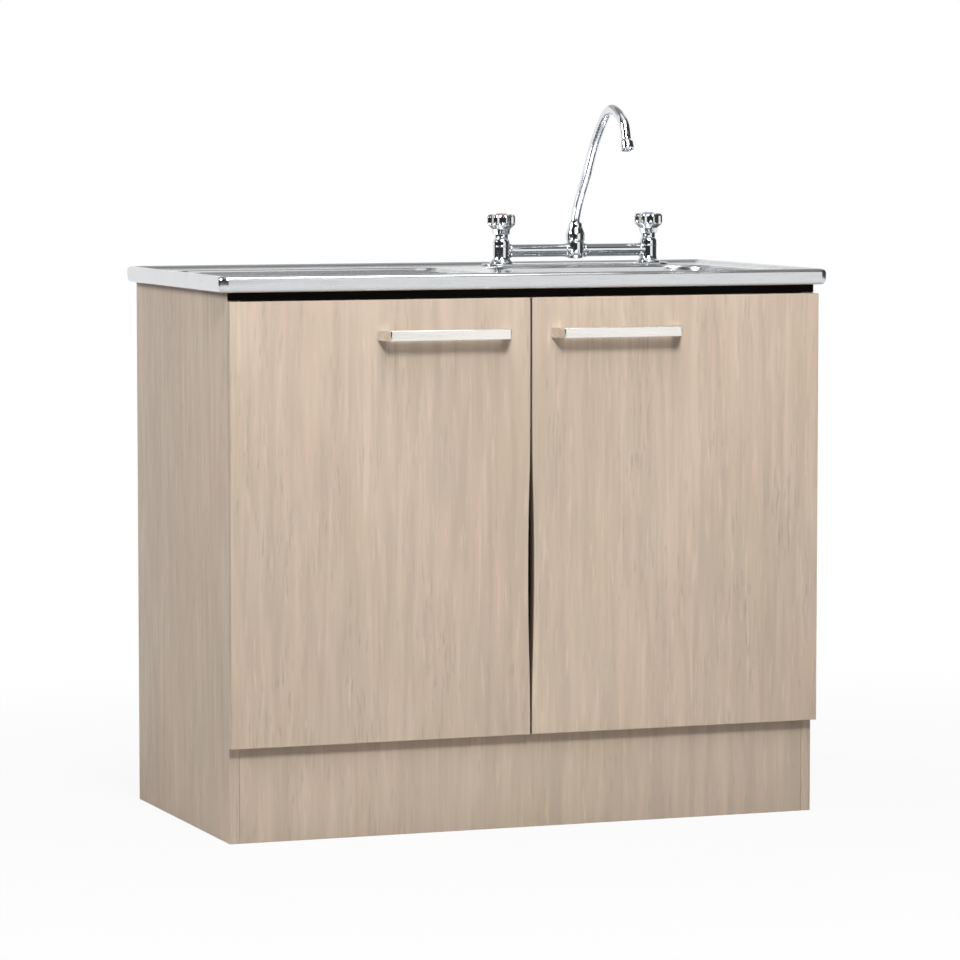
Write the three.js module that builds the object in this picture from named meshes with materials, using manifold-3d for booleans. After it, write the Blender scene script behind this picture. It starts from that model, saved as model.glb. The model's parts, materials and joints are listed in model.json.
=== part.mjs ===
// Kitchen sink unit: a two-door melamine cabinet under a pressed steel sink top with a drainer,
// a bridge mixer tap, a basket strainer waste and a bottle trap.
// Millimetres. +X to the right seen from the front, +Y to the back, +Z up.
// The origin is on the floor, under the middle of the whole unit.

import * as THREE from 'three';
import * as BufferGeometryUtils from 'three/addons/utils/BufferGeometryUtils.js';
import Module from 'manifold-3d';

const wasm = await Module();
wasm.setup();

// ---------------------------------------------------------------- driving dimensions

const SEAT_GAP = 0.3;                 // what two pieces that touch keep between them

// Carcass
const BOARD = 16;                     // thickness of every melamine board
const BACK_BOARD = 4;
const BACK_INSET = 6;                 // from the rear edges of the side panels to the back panel
const PLINTH_HEIGHT = 146;
const REAR_RAIL_HEIGHT = 80;
const PIPE_HATCH_WIDTH = 260;
const PIPE_HATCH_HEIGHT = 200;

// Steel top
const TOP_LENGTH = 1000;
const TOP_DEPTH = 510;
const TOP_HEIGHT = 860;               // floor to the crest of the rim
const TOP_FRONT_OVERHANG = 22;        // in front of the carcass
const TOP_REAR_OVERHANG = 2;
const TOP_SIDE_OVERHANG = 18;         // past the outer face of each side panel
const TOP_CORNER_RADIUS = 14;
const STEEL = 1;                      // sheet thickness
const RIM_DROP = 25;                  // crest to the lower edge of the apron
const DECK_SINK = 5;                  // crest to the deck
const RIM_RISE = 6;                   // height of the roll from the straight apron to the crest
const RIM_SHOULDER = [1.6, 2];        // in from the apron, and below the crest
const RIM_CREST_FRONT = 5;            // apron to the flat crest
const RIM_CREST_BACK = 9;             // apron to the far side of the crest
const RIM_FALL = [14, 2.2];           // halfway down to the deck: in from the apron, below the crest
const RIM_WIDTH = 20;                 // apron to where the flat deck starts
const TAP_LEDGE = 98;                 // rear edge of the top to the bowl
const FRONT_LEDGE = 60;               // front edge of the top to the bowl
const END_LEDGE = 49;                 // right end of the top to the bowl

// Bowl
const BOWL_WIDTH = 400;
const BOWL_FALL = 160;                // deck to the bottom at the walls
const BOWL_CORNER = 62;
const BOWL_LIP = 4;                   // the soft edge between the deck and a wall
const BOWL_DRAFT = 13;                // how far each wall leans in
const BOWL_FLOOR_RADIUS = 26;
const BOWL_FLOOR_FALL = 4;            // walls to the waste
const WASTE_HOLE_RADIUS = 45;

// Drainer
const DRAINER_MARGIN = 46;            // left end of the top to the drainer
const DRAINER_TO_BOWL = 65;
const DRAINER_CORNER = 30;
const DRAINER_SINK = 5;               // deck to the drainer floor
const RIB_COUNT = 9;
const RIB_FROM_END = 35;              // end of the drainer to the ends of its ribs
const RIB_WIDTH = 9;
const RIB_HEIGHT = 3;

// Black front rail
const RAIL_PLATE = 2;
const RAIL_VISIBLE = 12;              // how far it hangs below the apron
const RAIL_LEG = 22;

// Doors
const DOOR_THICKNESS = 16;
const DOOR_REAR_GAP = 2;              // carcass to the back of a door
const DOOR_TOP_GAP = 1.5;
const DOOR_BOTTOM = 147;
const DOOR_OVERHANG = 2;              // past the outer face of a side panel
const DOOR_MEETING_GAP = 2.6;
const DOOR_EDGE_ROUND = 0.8;
const RELIEF_DEPTH = 3.3;             // how far each meeting edge is hollowed at its widest
const RELIEF_TOP = 650;
const RELIEF_WIDEST = 405;

// Bar handles
const HANDLE_LENGTH = 218;
const HANDLE_FACE_LENGTH = 194;       // flat front, before the ends slant back
const HANDLE_HEIGHT = 16;
const HANDLE_PROJECTION = 30;
const HANDLE_BAR = 7;
const HANDLE_EDGE = 1.2;
const HANDLE_FOOT = 16;
const HANDLE_FROM_MEETING = 31;       // meeting edge of the door to the end of the handle
const HANDLE_BELOW_TOP = 54;          // top of the door to the middle of the handle
const HANDLE_SCREW_SPACING = 194;
const SCREW_RADIUS = 2;
const SCREW_HEAD_RADIUS = 4.2;
const SCREW_HEAD_HEIGHT = 2.4;
const SCREW_BITE = 9;                 // how deep a screw sits in the handle's foot

// Concealed hinges, measured from the outer face of the side panel and the front of the carcass
const HINGE_FROM_END = 96;            // end of the door to the middle of the hinge
const CUP_RADIUS = 17.5;
const CUP_DEPTH = 11.5;
const CUP_WALL = 1.2;
const CUP_EDGE = 5;                   // outer edge of the door to the rim of the cup
const CUP_FLANGE = 0.8;
const CUP_FLANGE_HEIGHT = 52;
const CUP_FLANGE_WIDTH = 26;
const ARM_PIVOT_X = 32;
const ARM_PIVOT_Y = -4;
const CUP_PIVOT_X = 9.5;
const CUP_PIVOT_Y = -5;
const PIVOT_PIN = 1.4;
const PIVOT_CLEARANCE = 0.35;
const LINK_EYE = 3;
const LINK_HEIGHT = 8;
const LINK_HALF_WIDTH = 1.6;
const LINK_BOW = 3.2;                 // how far the link bends round the edge of the door
const ARM_CHEEK = 1.8;
const ARM_REACH = 62;                 // pivot to the rear end of the arm
const HINGE_PLATE_THICKNESS = 5;
const HINGE_PLATE_LENGTH = 44;
const HINGE_PLATE_WING = 46;
const HINGE_PLATE_SETBACK = 22;

// Corner brackets
const BRACKET_LEG = 34;
const BRACKET_WIDTH = 26;
const BRACKET_WALL = 4;

// Bridge tap
const TAP_FROM_REAR = 58;             // rear edge of the top to the tap's centre line
const TAP_INLET_SPACING = 260;
const TAP_PLATE_LENGTH = 326;
const TAP_PLATE_DEPTH = 52;
const TAP_PLATE_THICKNESS = 3;
const TAP_PLATE_EDGE = 1;
const POST_RADIUS = 14;
const POST_FOOT_RADIUS = 20;
const POST_FOOT_HEIGHT = 9;           // plate to where the post runs straight
const POST_TOP_ABOVE_DECK = 43;
const POST_TOP_ROUND = 3;
const BRIDGE_RADIUS = 10.5;
const BRIDGE_ABOVE_DECK = 24;
const HUB_RADIUS = 15;
const HUB_TOP_ABOVE_DECK = 39;
const HUB_BELOW_BRIDGE = 3;
const SPOUT_SOCKET = 12;              // how deep the spout sits in the hub
const SPOUT_NUT_RADIUS = 16;
const SPOUT_NUT_HEIGHT = 30;
const SPOUT_NUT_NECK = 11;            // its radius at the top
const SPOUT_RADIUS = 8;
const SPOUT_BORE = 6.4;
const SPOUT_LEAN_FORWARD = 49;        // the stem passes here, here and over the apex to its tip
const SPOUT_LEAN_ABOVE_DECK = 148;
const SPOUT_RISE_FORWARD = 94.2;
const SPOUT_RISE_ABOVE_DECK = 210;
const SPOUT_APEX_FORWARD = 152;
const SPOUT_APEX_ABOVE_DECK = 254;
const SPOUT_FALL_FORWARD = 207;
const SPOUT_FALL_ABOVE_DECK = 234;
const SPOUT_TIP_FORWARD = 219;
const SPOUT_TIP_ABOVE_DECK = 206;
const AERATOR_RADIUS = 10.5;
const AERATOR_LENGTH = 17;
const AERATOR_SHOULDER = 5;           // tip of the spout to the aerator's full width
const AERATOR_LIP = 2.5;
const HEADWORK_RADIUS = 11.5;
const HEADWORK_HEIGHT = 13;
const HEADWORK_CHAMFER = 2;
const SPINDLE_RADIUS = 5;
const SPINDLE_HEIGHT = 16;
const KNOB_RADIUS = 23;
const KNOB_LOBE = 1.6;
const KNOB_LOBES = 8;
const KNOB_HEIGHT = 33;
const KNOB_GRIP_HEIGHT = 20.5;        // the fluted part, from the top down
const KNOB_EDGE = 2.4;
const KNOB_WALL = 2;
const KNOB_CLEARANCE = 1;             // to the headwork that it turns round
const KNOB_ABOVE_POST = 8;
const INDEX_RADIUS = 9;
const INDEX_HEIGHT = 1.6;
const SHANK_RADIUS = 10.2;
const SHANK_BORE = 6;
const SHANK_LENGTH = 62;
const SHANK_SOCKET = 12;              // how deep it sits in the post
const BACKNUT_RADIUS = 16;
const BACKNUT_HEIGHT = 10;
const BACKNUT_WASHER = 2;

// Waste and trap
const STRAINER_FLANGE_RADIUS = 56;
const STRAINER_FLANGE = 1.6;
const STRAINER_EDGE_HEIGHT = 0.5625 * STRAINER_FLANGE;  // the flange's outer edge above its seat
const STRAINER_EDGE_SLOPE = 0.625 * STRAINER_FLANGE;    // how far the top slopes in from there
const STRAINER_CUP_RADIUS = 42;
const STRAINER_CUP_DEPTH = 38;
const STRAINER_WALL = 1.6;
const STRAINER_LIP_DROP = 1.875 * STRAINER_WALL;        // from the flange's top down to the cup
const SPIGOT_RADIUS = 22;
const SPIGOT_LENGTH = 22;
const PIPE_RADIUS = 20;
const PIPE_WALL = 2;
const GASKET_THICKNESS = 3;
const GASKET_RADIUS = 56;
const LOCKNUT_RADIUS = 58;
const LOCKNUT_HEIGHT = 14;
const LOCKNUT_LUG = 8;
const LOCKNUT_LUGS = 6;
const BASKET_RADIUS = 37;
const BASKET_DEPTH = 22;
const BASKET_BELOW_FLANGE = 4;
const BASKET_FLOOR_RADIUS = 26;
const BASKET_HEEL = 6;                // how far the wall slants out before it rises
const BASKET_WALL = 1;
const BASKET_FOOT_RADIUS = 2;
const BASKET_STEM_RADIUS = 3;
const BASKET_KNOB_HEIGHT = 16;
const BASKET_HOLES = 8;
const BASKET_HOLE_RADIUS = 1.9;
const BASKET_KNOB_RADIUS = 7;
const COUPLING_RADIUS = 29;
const COUPLING_HEIGHT = 22;
const COUPLING_GRIP = 5;
const COUPLING_GRIPS = 8;
const TAILPIECE_LENGTH = 62;
const TRAP_RADIUS = 31;
const TRAP_BODY_HEIGHT = 86;
const TRAP_CUP_HEIGHT = 52;
const TRAP_CUP_RADIUS = 34;
const TRAP_WALL = 2.4;
const TRAP_NECK_WALL = 5.6;
const TRAP_SHOULDER = 8;              // height of the slope between body and neck
const TRAP_CUP_HEEL = 16;             // height of its slanting bottom edge
const TRAP_SPIGOT_REACH = 46;
const OUTLET_ABOVE_TRAP_FLOOR = 31;

// ---------------------------------------------------------------- places worked out from them

const deckZ = TOP_HEIGHT - DECK_SINK;
const underDeckZ = deckZ - STEEL;
const apronBottomZ = TOP_HEIGHT - RIM_DROP;
const topFrontY = -TOP_FRONT_OVERHANG;
const topRearY = topFrontY + TOP_DEPTH;
const bowlDepth = TOP_DEPTH - FRONT_LEDGE - TAP_LEDGE;
const bowlY = topRearY - TAP_LEDGE - bowlDepth / 2;
const bowlX = TOP_LENGTH / 2 - END_LEDGE - BOWL_WIDTH / 2;
const bowlFloorZ = deckZ - BOWL_FALL;
const wasteZ = bowlFloorZ - BOWL_FLOOR_FALL;
const tapX = bowlX;
const tapY = topRearY - TAP_FROM_REAR;
const drainerLeftX = -TOP_LENGTH / 2 + DRAINER_MARGIN;
const drainerWidth = bowlX - BOWL_WIDTH / 2 - DRAINER_TO_BOWL - drainerLeftX;
const drainerDepth = bowlDepth;
const drainerX = drainerLeftX + drainerWidth / 2;
const drainerZ = deckZ - DRAINER_SINK;
const ribLength = drainerWidth - 2 * RIB_FROM_END;

const carcassWidth = TOP_LENGTH - 2 * TOP_SIDE_OVERHANG;
const carcassDepth = TOP_DEPTH - TOP_FRONT_OVERHANG - TOP_REAR_OVERHANG;
const sideOuterX = carcassWidth / 2;
const sideInnerX = sideOuterX - BOARD;
const sideTopZ = underDeckZ - SEAT_GAP;
const innerWidth = carcassWidth - 2 * BOARD - 2 * SEAT_GAP;
const bottomPanelZ = PLINTH_HEIGHT + SEAT_GAP;
const backPanelY = carcassDepth - BACK_INSET - BACK_BOARD;

const railBottomZ = apronBottomZ - RAIL_VISIBLE;
const doorTopZ = railBottomZ - DOOR_TOP_GAP;
const doorRearY = -DOOR_REAR_GAP;
const doorFrontY = doorRearY - DOOR_THICKNESS;
const doorOuterX = sideOuterX + DOOR_OVERHANG;
const doorMeetingX = DOOR_MEETING_GAP / 2;
const handleZ = doorTopZ - HANDLE_BELOW_TOP;
const handleX = doorMeetingX + HANDLE_FROM_MEETING + HANDLE_LENGTH / 2;
const hingeHeights = { lower: DOOR_BOTTOM + HINGE_FROM_END, upper: doorTopZ - HINGE_FROM_END };
const cupX = -DOOR_OVERHANG + CUP_EDGE + CUP_RADIUS;

const unitFrontY = doorFrontY - SEAT_GAP - HANDLE_PROJECTION;
const unitMiddleY = (unitFrontY + topRearY) / 2;

// ---------------------------------------------------------------- finishes

const OAK = new THREE.MeshStandardMaterial({ color: 0xcdbda9, roughness: 0.62, metalness: 0 });
const BACK = new THREE.MeshStandardMaterial({ color: 0xd8d2c6, roughness: 0.7, metalness: 0 });
const BLACK = new THREE.MeshStandardMaterial({ color: 0x14110f, roughness: 0.5, metalness: 0 });
const STAINLESS = new THREE.MeshStandardMaterial({ color: 0xc3c6c8, roughness: 0.3, metalness: 1 });
const SATIN = new THREE.MeshStandardMaterial({ color: 0xc9c8c4, roughness: 0.34, metalness: 1 });
const CHROME = new THREE.MeshStandardMaterial({ color: 0xd9dcde, roughness: 0.08, metalness: 1 });
const NICKEL = new THREE.MeshStandardMaterial({ color: 0xb9b9b4, roughness: 0.28, metalness: 1 });
const BRASS = new THREE.MeshStandardMaterial({ color: 0xb5954e, roughness: 0.35, metalness: 1 });
const RUBBER = new THREE.MeshStandardMaterial({ color: 0x1c1c1c, roughness: 0.8, metalness: 0 });
const PIPE = new THREE.MeshStandardMaterial({ color: 0xe6e6e2, roughness: 0.4, metalness: 0 });
const HOT = new THREE.MeshStandardMaterial({ color: 0xb02a24, roughness: 0.35, metalness: 0 });
const COLD = new THREE.MeshStandardMaterial({ color: 0x2a4f9c, roughness: 0.35, metalness: 0 });

// ---------------------------------------------------------------- solids

const ROUND = 20;                     // sides of a round piece
const SMALL_ROUND = 10;               // sides of a pin, screw or small bore
const OVERLAP = 0.5;                  // how far joined solids run into each other
const PAST = 2;                       // how far a cutter runs past what it cuts

function toSolid(geometry) {
  const flat = geometry.index ? geometry.toNonIndexed() : geometry.clone();
  flat.deleteAttribute('normal');
  flat.deleteAttribute('uv');
  const merged = BufferGeometryUtils.mergeVertices(flat, 1e-4);
  return new wasm.Manifold(new wasm.Mesh({
    numProp: 3,
    vertProperties: new Float32Array(merged.attributes.position.array),
    triVerts: new Uint32Array(merged.index.array),
  }));
}

function toGeometry(solid) {
  const mesh = solid.getMesh();
  const geometry = new THREE.BufferGeometry();
  geometry.setAttribute('position', new THREE.BufferAttribute(new Float32Array(mesh.vertProperties), 3));
  geometry.setIndex(new THREE.BufferAttribute(new Uint32Array(mesh.triVerts), 1));
  geometry.computeVertexNormals();
  return geometry;
}

function join(...geometries) {
  return toGeometry(geometries.map(toSolid).reduce((whole, next) => whole.add(next)));
}

function cut(geometry, ...cutters) {
  return toGeometry(cutters.map(toSolid).reduce((whole, next) => whole.subtract(next), toSolid(geometry)));
}

// A box from its lowest corner.
function block(x, y, z, sizeX, sizeY, sizeZ) {
  return new THREE.BoxGeometry(sizeX, sizeY, sizeZ)
    .translate(x + sizeX / 2, y + sizeY / 2, z + sizeZ / 2);
}

// An upright cylinder standing on z.
function post(x, y, z, radius, height, sides = ROUND) {
  return new THREE.CylinderGeometry(radius, radius, height, sides)
    .rotateX(Math.PI / 2)
    .translate(x, y, z + height / 2);
}

// A cylinder lying along Y, from y towards the back.
function rodY(x, y, z, radius, length, sides = ROUND) {
  return new THREE.CylinderGeometry(radius, radius, length, sides).translate(x, y + length / 2, z);
}

// A cylinder lying along X, from x to the right.
function rodX(x, y, z, radius, length, sides = ROUND) {
  return new THREE.CylinderGeometry(radius, radius, length, sides)
    .rotateZ(Math.PI / 2)
    .translate(x + length / 2, y, z);
}

// A solid of revolution about an upright axis; points are [radius, height].
function turned(points, sides = ROUND) {
  const closesOnAxis = points[0][0] === 0 && points[points.length - 1][0] === 0;
  const profile = points.map(([radius, height]) => new THREE.Vector2(radius, height));
  if (!closesOnAxis) {
    profile.push(profile[0].clone());
  }
  return new THREE.LatheGeometry(profile, sides).rotateX(Math.PI / 2);
}

// Copies of a geometry, spaced evenly round the upright axis.
function turnedCopies(geometry, count) {
  const copies = [];
  for (let copy = 0; copy < count; copy += 1) {
    copies.push(geometry.clone().rotateZ(copy / count * 2 * Math.PI));
  }
  return copies;
}

// A tube wall from z up.
function sleeve(x, y, z, outer, inner, height, sides = ROUND) {
  return turned([[inner, 0], [outer, 0], [outer, height], [inner, height]], sides).translate(x, y, z);
}

// An outline drawn in X and Y, raised from z.
function raised(shape, z, height, curveSegments = 8) {
  return new THREE.ExtrudeGeometry(shape, { depth: height, bevelEnabled: false, curveSegments })
    .translate(0, 0, z);
}

// An outline drawn in X and Z, pushed from y towards the back.
function pushedBack(shape, y, length, bevel = 0) {
  const options = {
    depth: length - 2 * bevel,
    bevelEnabled: bevel > 0,
    bevelSize: bevel,
    bevelOffset: -bevel,
    bevelThickness: bevel,
    bevelSegments: 1,
    curveSegments: 14,
  };
  return new THREE.ExtrudeGeometry(shape, options)
    .translate(0, 0, bevel)
    .rotateX(Math.PI / 2)
    .translate(0, y + length, 0);
}

function outline(points) {
  return new THREE.Shape(points.map(([x, y]) => new THREE.Vector2(x, y)));
}

// A rectangle with round corners, drawn about its middle.
function roundedOutline(width, depth, radius) {
  const shape = new THREE.Shape();
  const x = width / 2;
  const y = depth / 2;
  shape.moveTo(-x + radius, -y);
  shape.lineTo(x - radius, -y);
  shape.absarc(x - radius, -y + radius, radius, -Math.PI / 2, 0);
  shape.lineTo(x, y - radius);
  shape.absarc(x - radius, y - radius, radius, 0, Math.PI / 2);
  shape.lineTo(-x + radius, y);
  shape.absarc(-x + radius, y - radius, radius, Math.PI / 2, Math.PI);
  shape.lineTo(-x, -y + radius);
  shape.absarc(-x + radius, -y + radius, radius, Math.PI, 1.5 * Math.PI);
  return shape;
}

const CORNER_STEPS = 5;

// The points of one level ring with round corners, anticlockwise from above.
function ringPoints({ width, depth, radius, z }) {
  const points = [];
  for (let corner = 0; corner < 4; corner += 1) {
    const signX = corner === 0 || corner === 3 ? 1 : -1;
    const signY = corner < 2 ? 1 : -1;
    for (let step = 0; step <= CORNER_STEPS; step += 1) {
      const angle = (corner + step / CORNER_STEPS) * Math.PI / 2;
      points.push([
        signX * (width / 2 - radius) + radius * Math.cos(angle),
        signY * (depth / 2 - radius) + radius * Math.sin(angle),
        z,
      ]);
    }
  }
  return points;
}

// A wall that runs right round: the rings go once about its section, and the last joins the first.
function ringWall(rings) {
  const loops = rings.map(ringPoints);
  const around = loops[0].length;
  const positions = loops.flat(2);
  const index = [];
  for (let ring = 0; ring < loops.length; ring += 1) {
    const next = (ring + 1) % loops.length;
    for (let point = 0; point < around; point += 1) {
      const beside = (point + 1) % around;
      const a = ring * around + point;
      const b = ring * around + beside;
      const c = next * around + beside;
      const d = next * around + point;
      index.push(a, b, c, a, c, d);
    }
  }
  const geometry = new THREE.BufferGeometry();
  geometry.setAttribute('position', new THREE.BufferAttribute(new Float32Array(positions), 3));
  geometry.setIndex(index);
  return geometry;
}

const unit = new THREE.Group();
unit.position.y = -unitMiddleY;

function place(group, name, geometry, material) {
  const mesh = new THREE.Mesh(geometry, material);
  mesh.name = name;
  group.add(mesh);
  return mesh;
}

// ---------------------------------------------------------------- carcass

function addCarcass() {
  const carcass = new THREE.Group();
  const sides = { left: -sideOuterX, right: sideInnerX };
  for (const [side, x] of Object.entries(sides)) {
    place(carcass, `side_panel_${side}`, block(x, 0, 0, BOARD, carcassDepth, sideTopZ), OAK);
  }
  place(carcass, 'plinth_board', block(-innerWidth / 2, 0, 0, innerWidth, BOARD, PLINTH_HEIGHT), OAK);
  const bottomDepth = backPanelY - SEAT_GAP;
  place(
    carcass,
    'bottom_panel',
    block(-innerWidth / 2, 0, bottomPanelZ, innerWidth, bottomDepth, BOARD),
    OAK,
  );
  const hatchZ = wasteZ - PIPE_HATCH_HEIGHT;
  const hatch = block(
    bowlX - PIPE_HATCH_WIDTH / 2,
    backPanelY - PAST,
    hatchZ,
    PIPE_HATCH_WIDTH,
    BACK_BOARD + 2 * PAST,
    PIPE_HATCH_HEIGHT,
  );
  const backTopZ = sideTopZ - RIM_WIDTH;
  const back = block(
    -innerWidth / 2,
    backPanelY,
    bottomPanelZ,
    innerWidth,
    BACK_BOARD,
    backTopZ - bottomPanelZ,
  );
  place(carcass, 'back_panel', cut(back, hatch), BACK);
  place(
    carcass,
    'rear_rail',
    block(
      -innerWidth / 2,
      backPanelY - SEAT_GAP - BOARD,
      backTopZ - REAR_RAIL_HEIGHT,
      innerWidth,
      BOARD,
      REAR_RAIL_HEIGHT,
    ),
    OAK,
  );
  unit.add(carcass);
}

// The black rail closes the gap between the steel apron and the doors, and carries the deck's front.
function addFrontRail() {
  const faceHeight = sideTopZ - railBottomZ;
  const face = block(
    -sideOuterX,
    -SEAT_GAP - RAIL_PLATE,
    railBottomZ,
    carcassWidth,
    RAIL_PLATE,
    faceHeight,
  );
  const legZ = sideTopZ - RAIL_PLATE;
  const leg = block(-innerWidth / 2, -SEAT_GAP - OVERLAP, legZ, innerWidth, RAIL_LEG, RAIL_PLATE);
  place(unit, 'front_rail', join(face, leg), BLACK);
}

// An angle bracket with a web, under the rail's leg and against the side panel.
function bracketAt(signX) {
  const x = signX * (sideInnerX - SEAT_GAP);
  const y = SEAT_GAP;
  const topZ = sideTopZ - RAIL_PLATE - SEAT_GAP;
  const wall = block(
    Math.min(x, x - signX * BRACKET_WALL),
    y,
    topZ - BRACKET_LEG,
    BRACKET_WALL,
    BRACKET_WIDTH,
    BRACKET_LEG,
  );
  const shelf = block(
    Math.min(x, x - signX * BRACKET_LEG),
    y,
    topZ - BRACKET_WALL,
    BRACKET_LEG,
    BRACKET_WIDTH,
    BRACKET_WALL,
  );
  const corner = [x - signX * BRACKET_WALL / 2, topZ - BRACKET_WALL / 2];
  const foot = [corner[0], topZ - BRACKET_LEG];
  const end = [x - signX * BRACKET_LEG, corner[1]];
  const webShape = outline(signX > 0 ? [foot, corner, end] : [foot, end, corner]);
  const web = pushedBack(webShape, y + (BRACKET_WIDTH - BRACKET_WALL) / 2, BRACKET_WALL);
  return join(wall, shelf, web);
}

function addBrackets() {
  for (const [side, sign] of [['left', -1], ['right', 1]]) {
    place(unit, `top_bracket_${side}`, bracketAt(sign), PIPE);
  }
}

// ---------------------------------------------------------------- steel top

function topRing([inset, z]) {
  return {
    width: TOP_LENGTH - 2 * inset,
    depth: TOP_DEPTH - 2 * inset,
    radius: TOP_CORNER_RADIUS - inset / 2,
    z,
  };
}

// The rolled rim: up the apron, over the crest and down to the deck, and back along its underside.
// Each point is how far it lies in from the apron's face, and its height.
function rimWall() {
  const [shoulderIn, shoulderBelow] = RIM_SHOULDER;
  const [fallIn, fallBelow] = RIM_FALL;
  const upper = [
    [0, apronBottomZ],
    [0, TOP_HEIGHT - RIM_RISE],
    [shoulderIn, TOP_HEIGHT - shoulderBelow],
    [RIM_CREST_FRONT, TOP_HEIGHT],
    [RIM_CREST_BACK, TOP_HEIGHT],
    [fallIn, TOP_HEIGHT - fallBelow],
    [RIM_WIDTH, deckZ],
  ];
  const slant = STEEL / Math.SQRT2;
  const under = [
    [RIM_WIDTH, underDeckZ],
    [fallIn, TOP_HEIGHT - fallBelow - STEEL],
    [RIM_CREST_BACK, TOP_HEIGHT - STEEL],
    [RIM_CREST_FRONT + STEEL / 2, TOP_HEIGHT - STEEL],
    [shoulderIn + slant, TOP_HEIGHT - shoulderBelow - slant],
    [STEEL, TOP_HEIGHT - RIM_RISE - STEEL / 2],
    [STEEL, apronBottomZ],
  ];
  return ringWall([...upper, ...under].map(topRing));
}

function bowlRing(inset, z, skin = 0) {
  return {
    width: BOWL_WIDTH - 2 * inset + 2 * skin,
    depth: bowlDepth - 2 * inset + 2 * skin,
    radius: BOWL_CORNER + skin,
    z,
  };
}

// Each step is [inset, height]; the wall goes down inside, round the waste hole and up outside.
function bowlWall() {
  const sweep = (quarters) => {
    const angle = quarters * Math.PI / 2;
    return [
      BOWL_DRAFT + BOWL_FLOOR_RADIUS * (1 - Math.cos(angle)),
      bowlFloorZ + BOWL_FLOOR_RADIUS * (1 - Math.sin(angle)),
    ];
  };
  const walls = [
    [0, deckZ],
    [BOWL_LIP * (1 - Math.SQRT1_2), deckZ - BOWL_LIP * (1 - Math.SQRT1_2)],
    [BOWL_LIP, deckZ - BOWL_LIP],
    sweep(0),
    sweep(1 / 3),
    sweep(2 / 3),
    sweep(1),
  ];
  const hole = {
    width: 2 * WASTE_HOLE_RADIUS,
    depth: 2 * WASTE_HOLE_RADIUS,
    radius: WASTE_HOLE_RADIUS,
  };
  const inner = walls.map(([inset, z]) => bowlRing(inset, z));
  const outer = walls.slice(1).map(([inset, z]) => bowlRing(inset, z - STEEL, STEEL)).reverse();
  const underDeck = bowlRing(-STEEL, underDeckZ);
  return ringWall([
    ...inner,
    { ...hole, z: wasteZ },
    { ...hole, z: wasteZ - STEEL },
    ...outer,
    underDeck,
  ]);
}

function drainerTray() {
  const slope = DRAINER_SINK;
  const ring = (inset, z, skin = 0) => ({
    width: drainerWidth - 2 * inset + 2 * skin,
    depth: drainerDepth - 2 * inset + 2 * skin,
    radius: DRAINER_CORNER - inset + skin,
    z,
  });
  const wall = ringWall([
    ring(0, deckZ),
    ring(slope, drainerZ),
    ring(slope + STEEL, drainerZ),
    ring(slope + STEEL, drainerZ - STEEL),
    ring(slope - STEEL / 2, drainerZ - STEEL),
    ring(-STEEL / 2, underDeckZ),
  ]);
  const floorShape = roundedOutline(
    drainerWidth - 2 * slope,
    drainerDepth - 2 * slope,
    DRAINER_CORNER - slope,
  );
  const floor = raised(floorShape, drainerZ - STEEL, STEEL, CORNER_STEPS);
  return join(wall, floor);
}

function ribSolids() {
  const ribs = [];
  const pitch = (drainerDepth - 2 * DRAINER_CORNER) / (RIB_COUNT - 1);
  for (let rib = 0; rib < RIB_COUNT; rib += 1) {
    const y = (rib - (RIB_COUNT - 1) / 2) * pitch;
    const bar = new THREE.CapsuleGeometry(RIB_WIDTH / 2, ribLength - RIB_WIDTH, 2, 8)
      .rotateZ(Math.PI / 2)
      .scale(1, 1, RIB_HEIGHT / (RIB_WIDTH / 2))
      .translate(drainerX, bowlY + y, drainerZ - STEEL / 2);
    ribs.push(bar);
  }
  return ribs;
}

function addSinkTop() {
  const middleY = (topFrontY + topRearY) / 2;
  const deckShape = roundedOutline(
    TOP_LENGTH - 2 * RIM_WIDTH + 2 * OVERLAP,
    TOP_DEPTH - 2 * RIM_WIDTH + 2 * OVERLAP,
    TOP_CORNER_RADIUS - RIM_WIDTH / 2 + OVERLAP,
  );
  const deck = raised(deckShape, underDeckZ, STEEL, CORNER_STEPS).translate(0, middleY, 0);
  const bowlOpening = ringWallCutter(bowlRing(0, underDeckZ - PAST)).translate(bowlX, bowlY, 0);
  const drainerOpening = ringWallCutter({
    width: drainerWidth,
    depth: drainerDepth,
    radius: DRAINER_CORNER,
    z: underDeckZ - PAST,
  }).translate(drainerX, bowlY, 0);
  const shankHoles = [-1, 1].map((sign) => post(
    tapX + sign * TAP_INLET_SPACING / 2,
    tapY,
    underDeckZ - PAST,
    SHANK_RADIUS + 2 * SEAT_GAP,
    STEEL + 2 * PAST,
  ));
  const plate = cut(deck, bowlOpening, drainerOpening, ...shankHoles);
  const rim = rimWall().translate(0, middleY, 0);
  const bowl = bowlWall().translate(bowlX, bowlY, 0);
  const drainer = drainerTray().translate(drainerX, bowlY, 0);
  // The ribs are pressed up from the floor: their lower half is trimmed off under the tray.
  const underTray = block(
    drainerX - drainerWidth / 2,
    bowlY - drainerDepth / 2,
    drainerZ - STEEL - RIB_WIDTH,
    drainerWidth,
    drainerDepth,
    RIB_WIDTH,
  );
  const ribs = ribSolids().map((rib) => cut(rib, underTray));
  place(unit, 'sink_top', join(plate, rim, bowl, drainer, ...ribs), STAINLESS);
}

// A solid plug with the outline of a ring, for cutting an opening through the deck.
function ringWallCutter(ring) {
  const points = ringPoints(ring).map(([x, y]) => [x, y]);
  return raised(outline(points), ring.z, STEEL + 2 * PAST);
}

// ---------------------------------------------------------------- doors, handles and hinges

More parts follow.
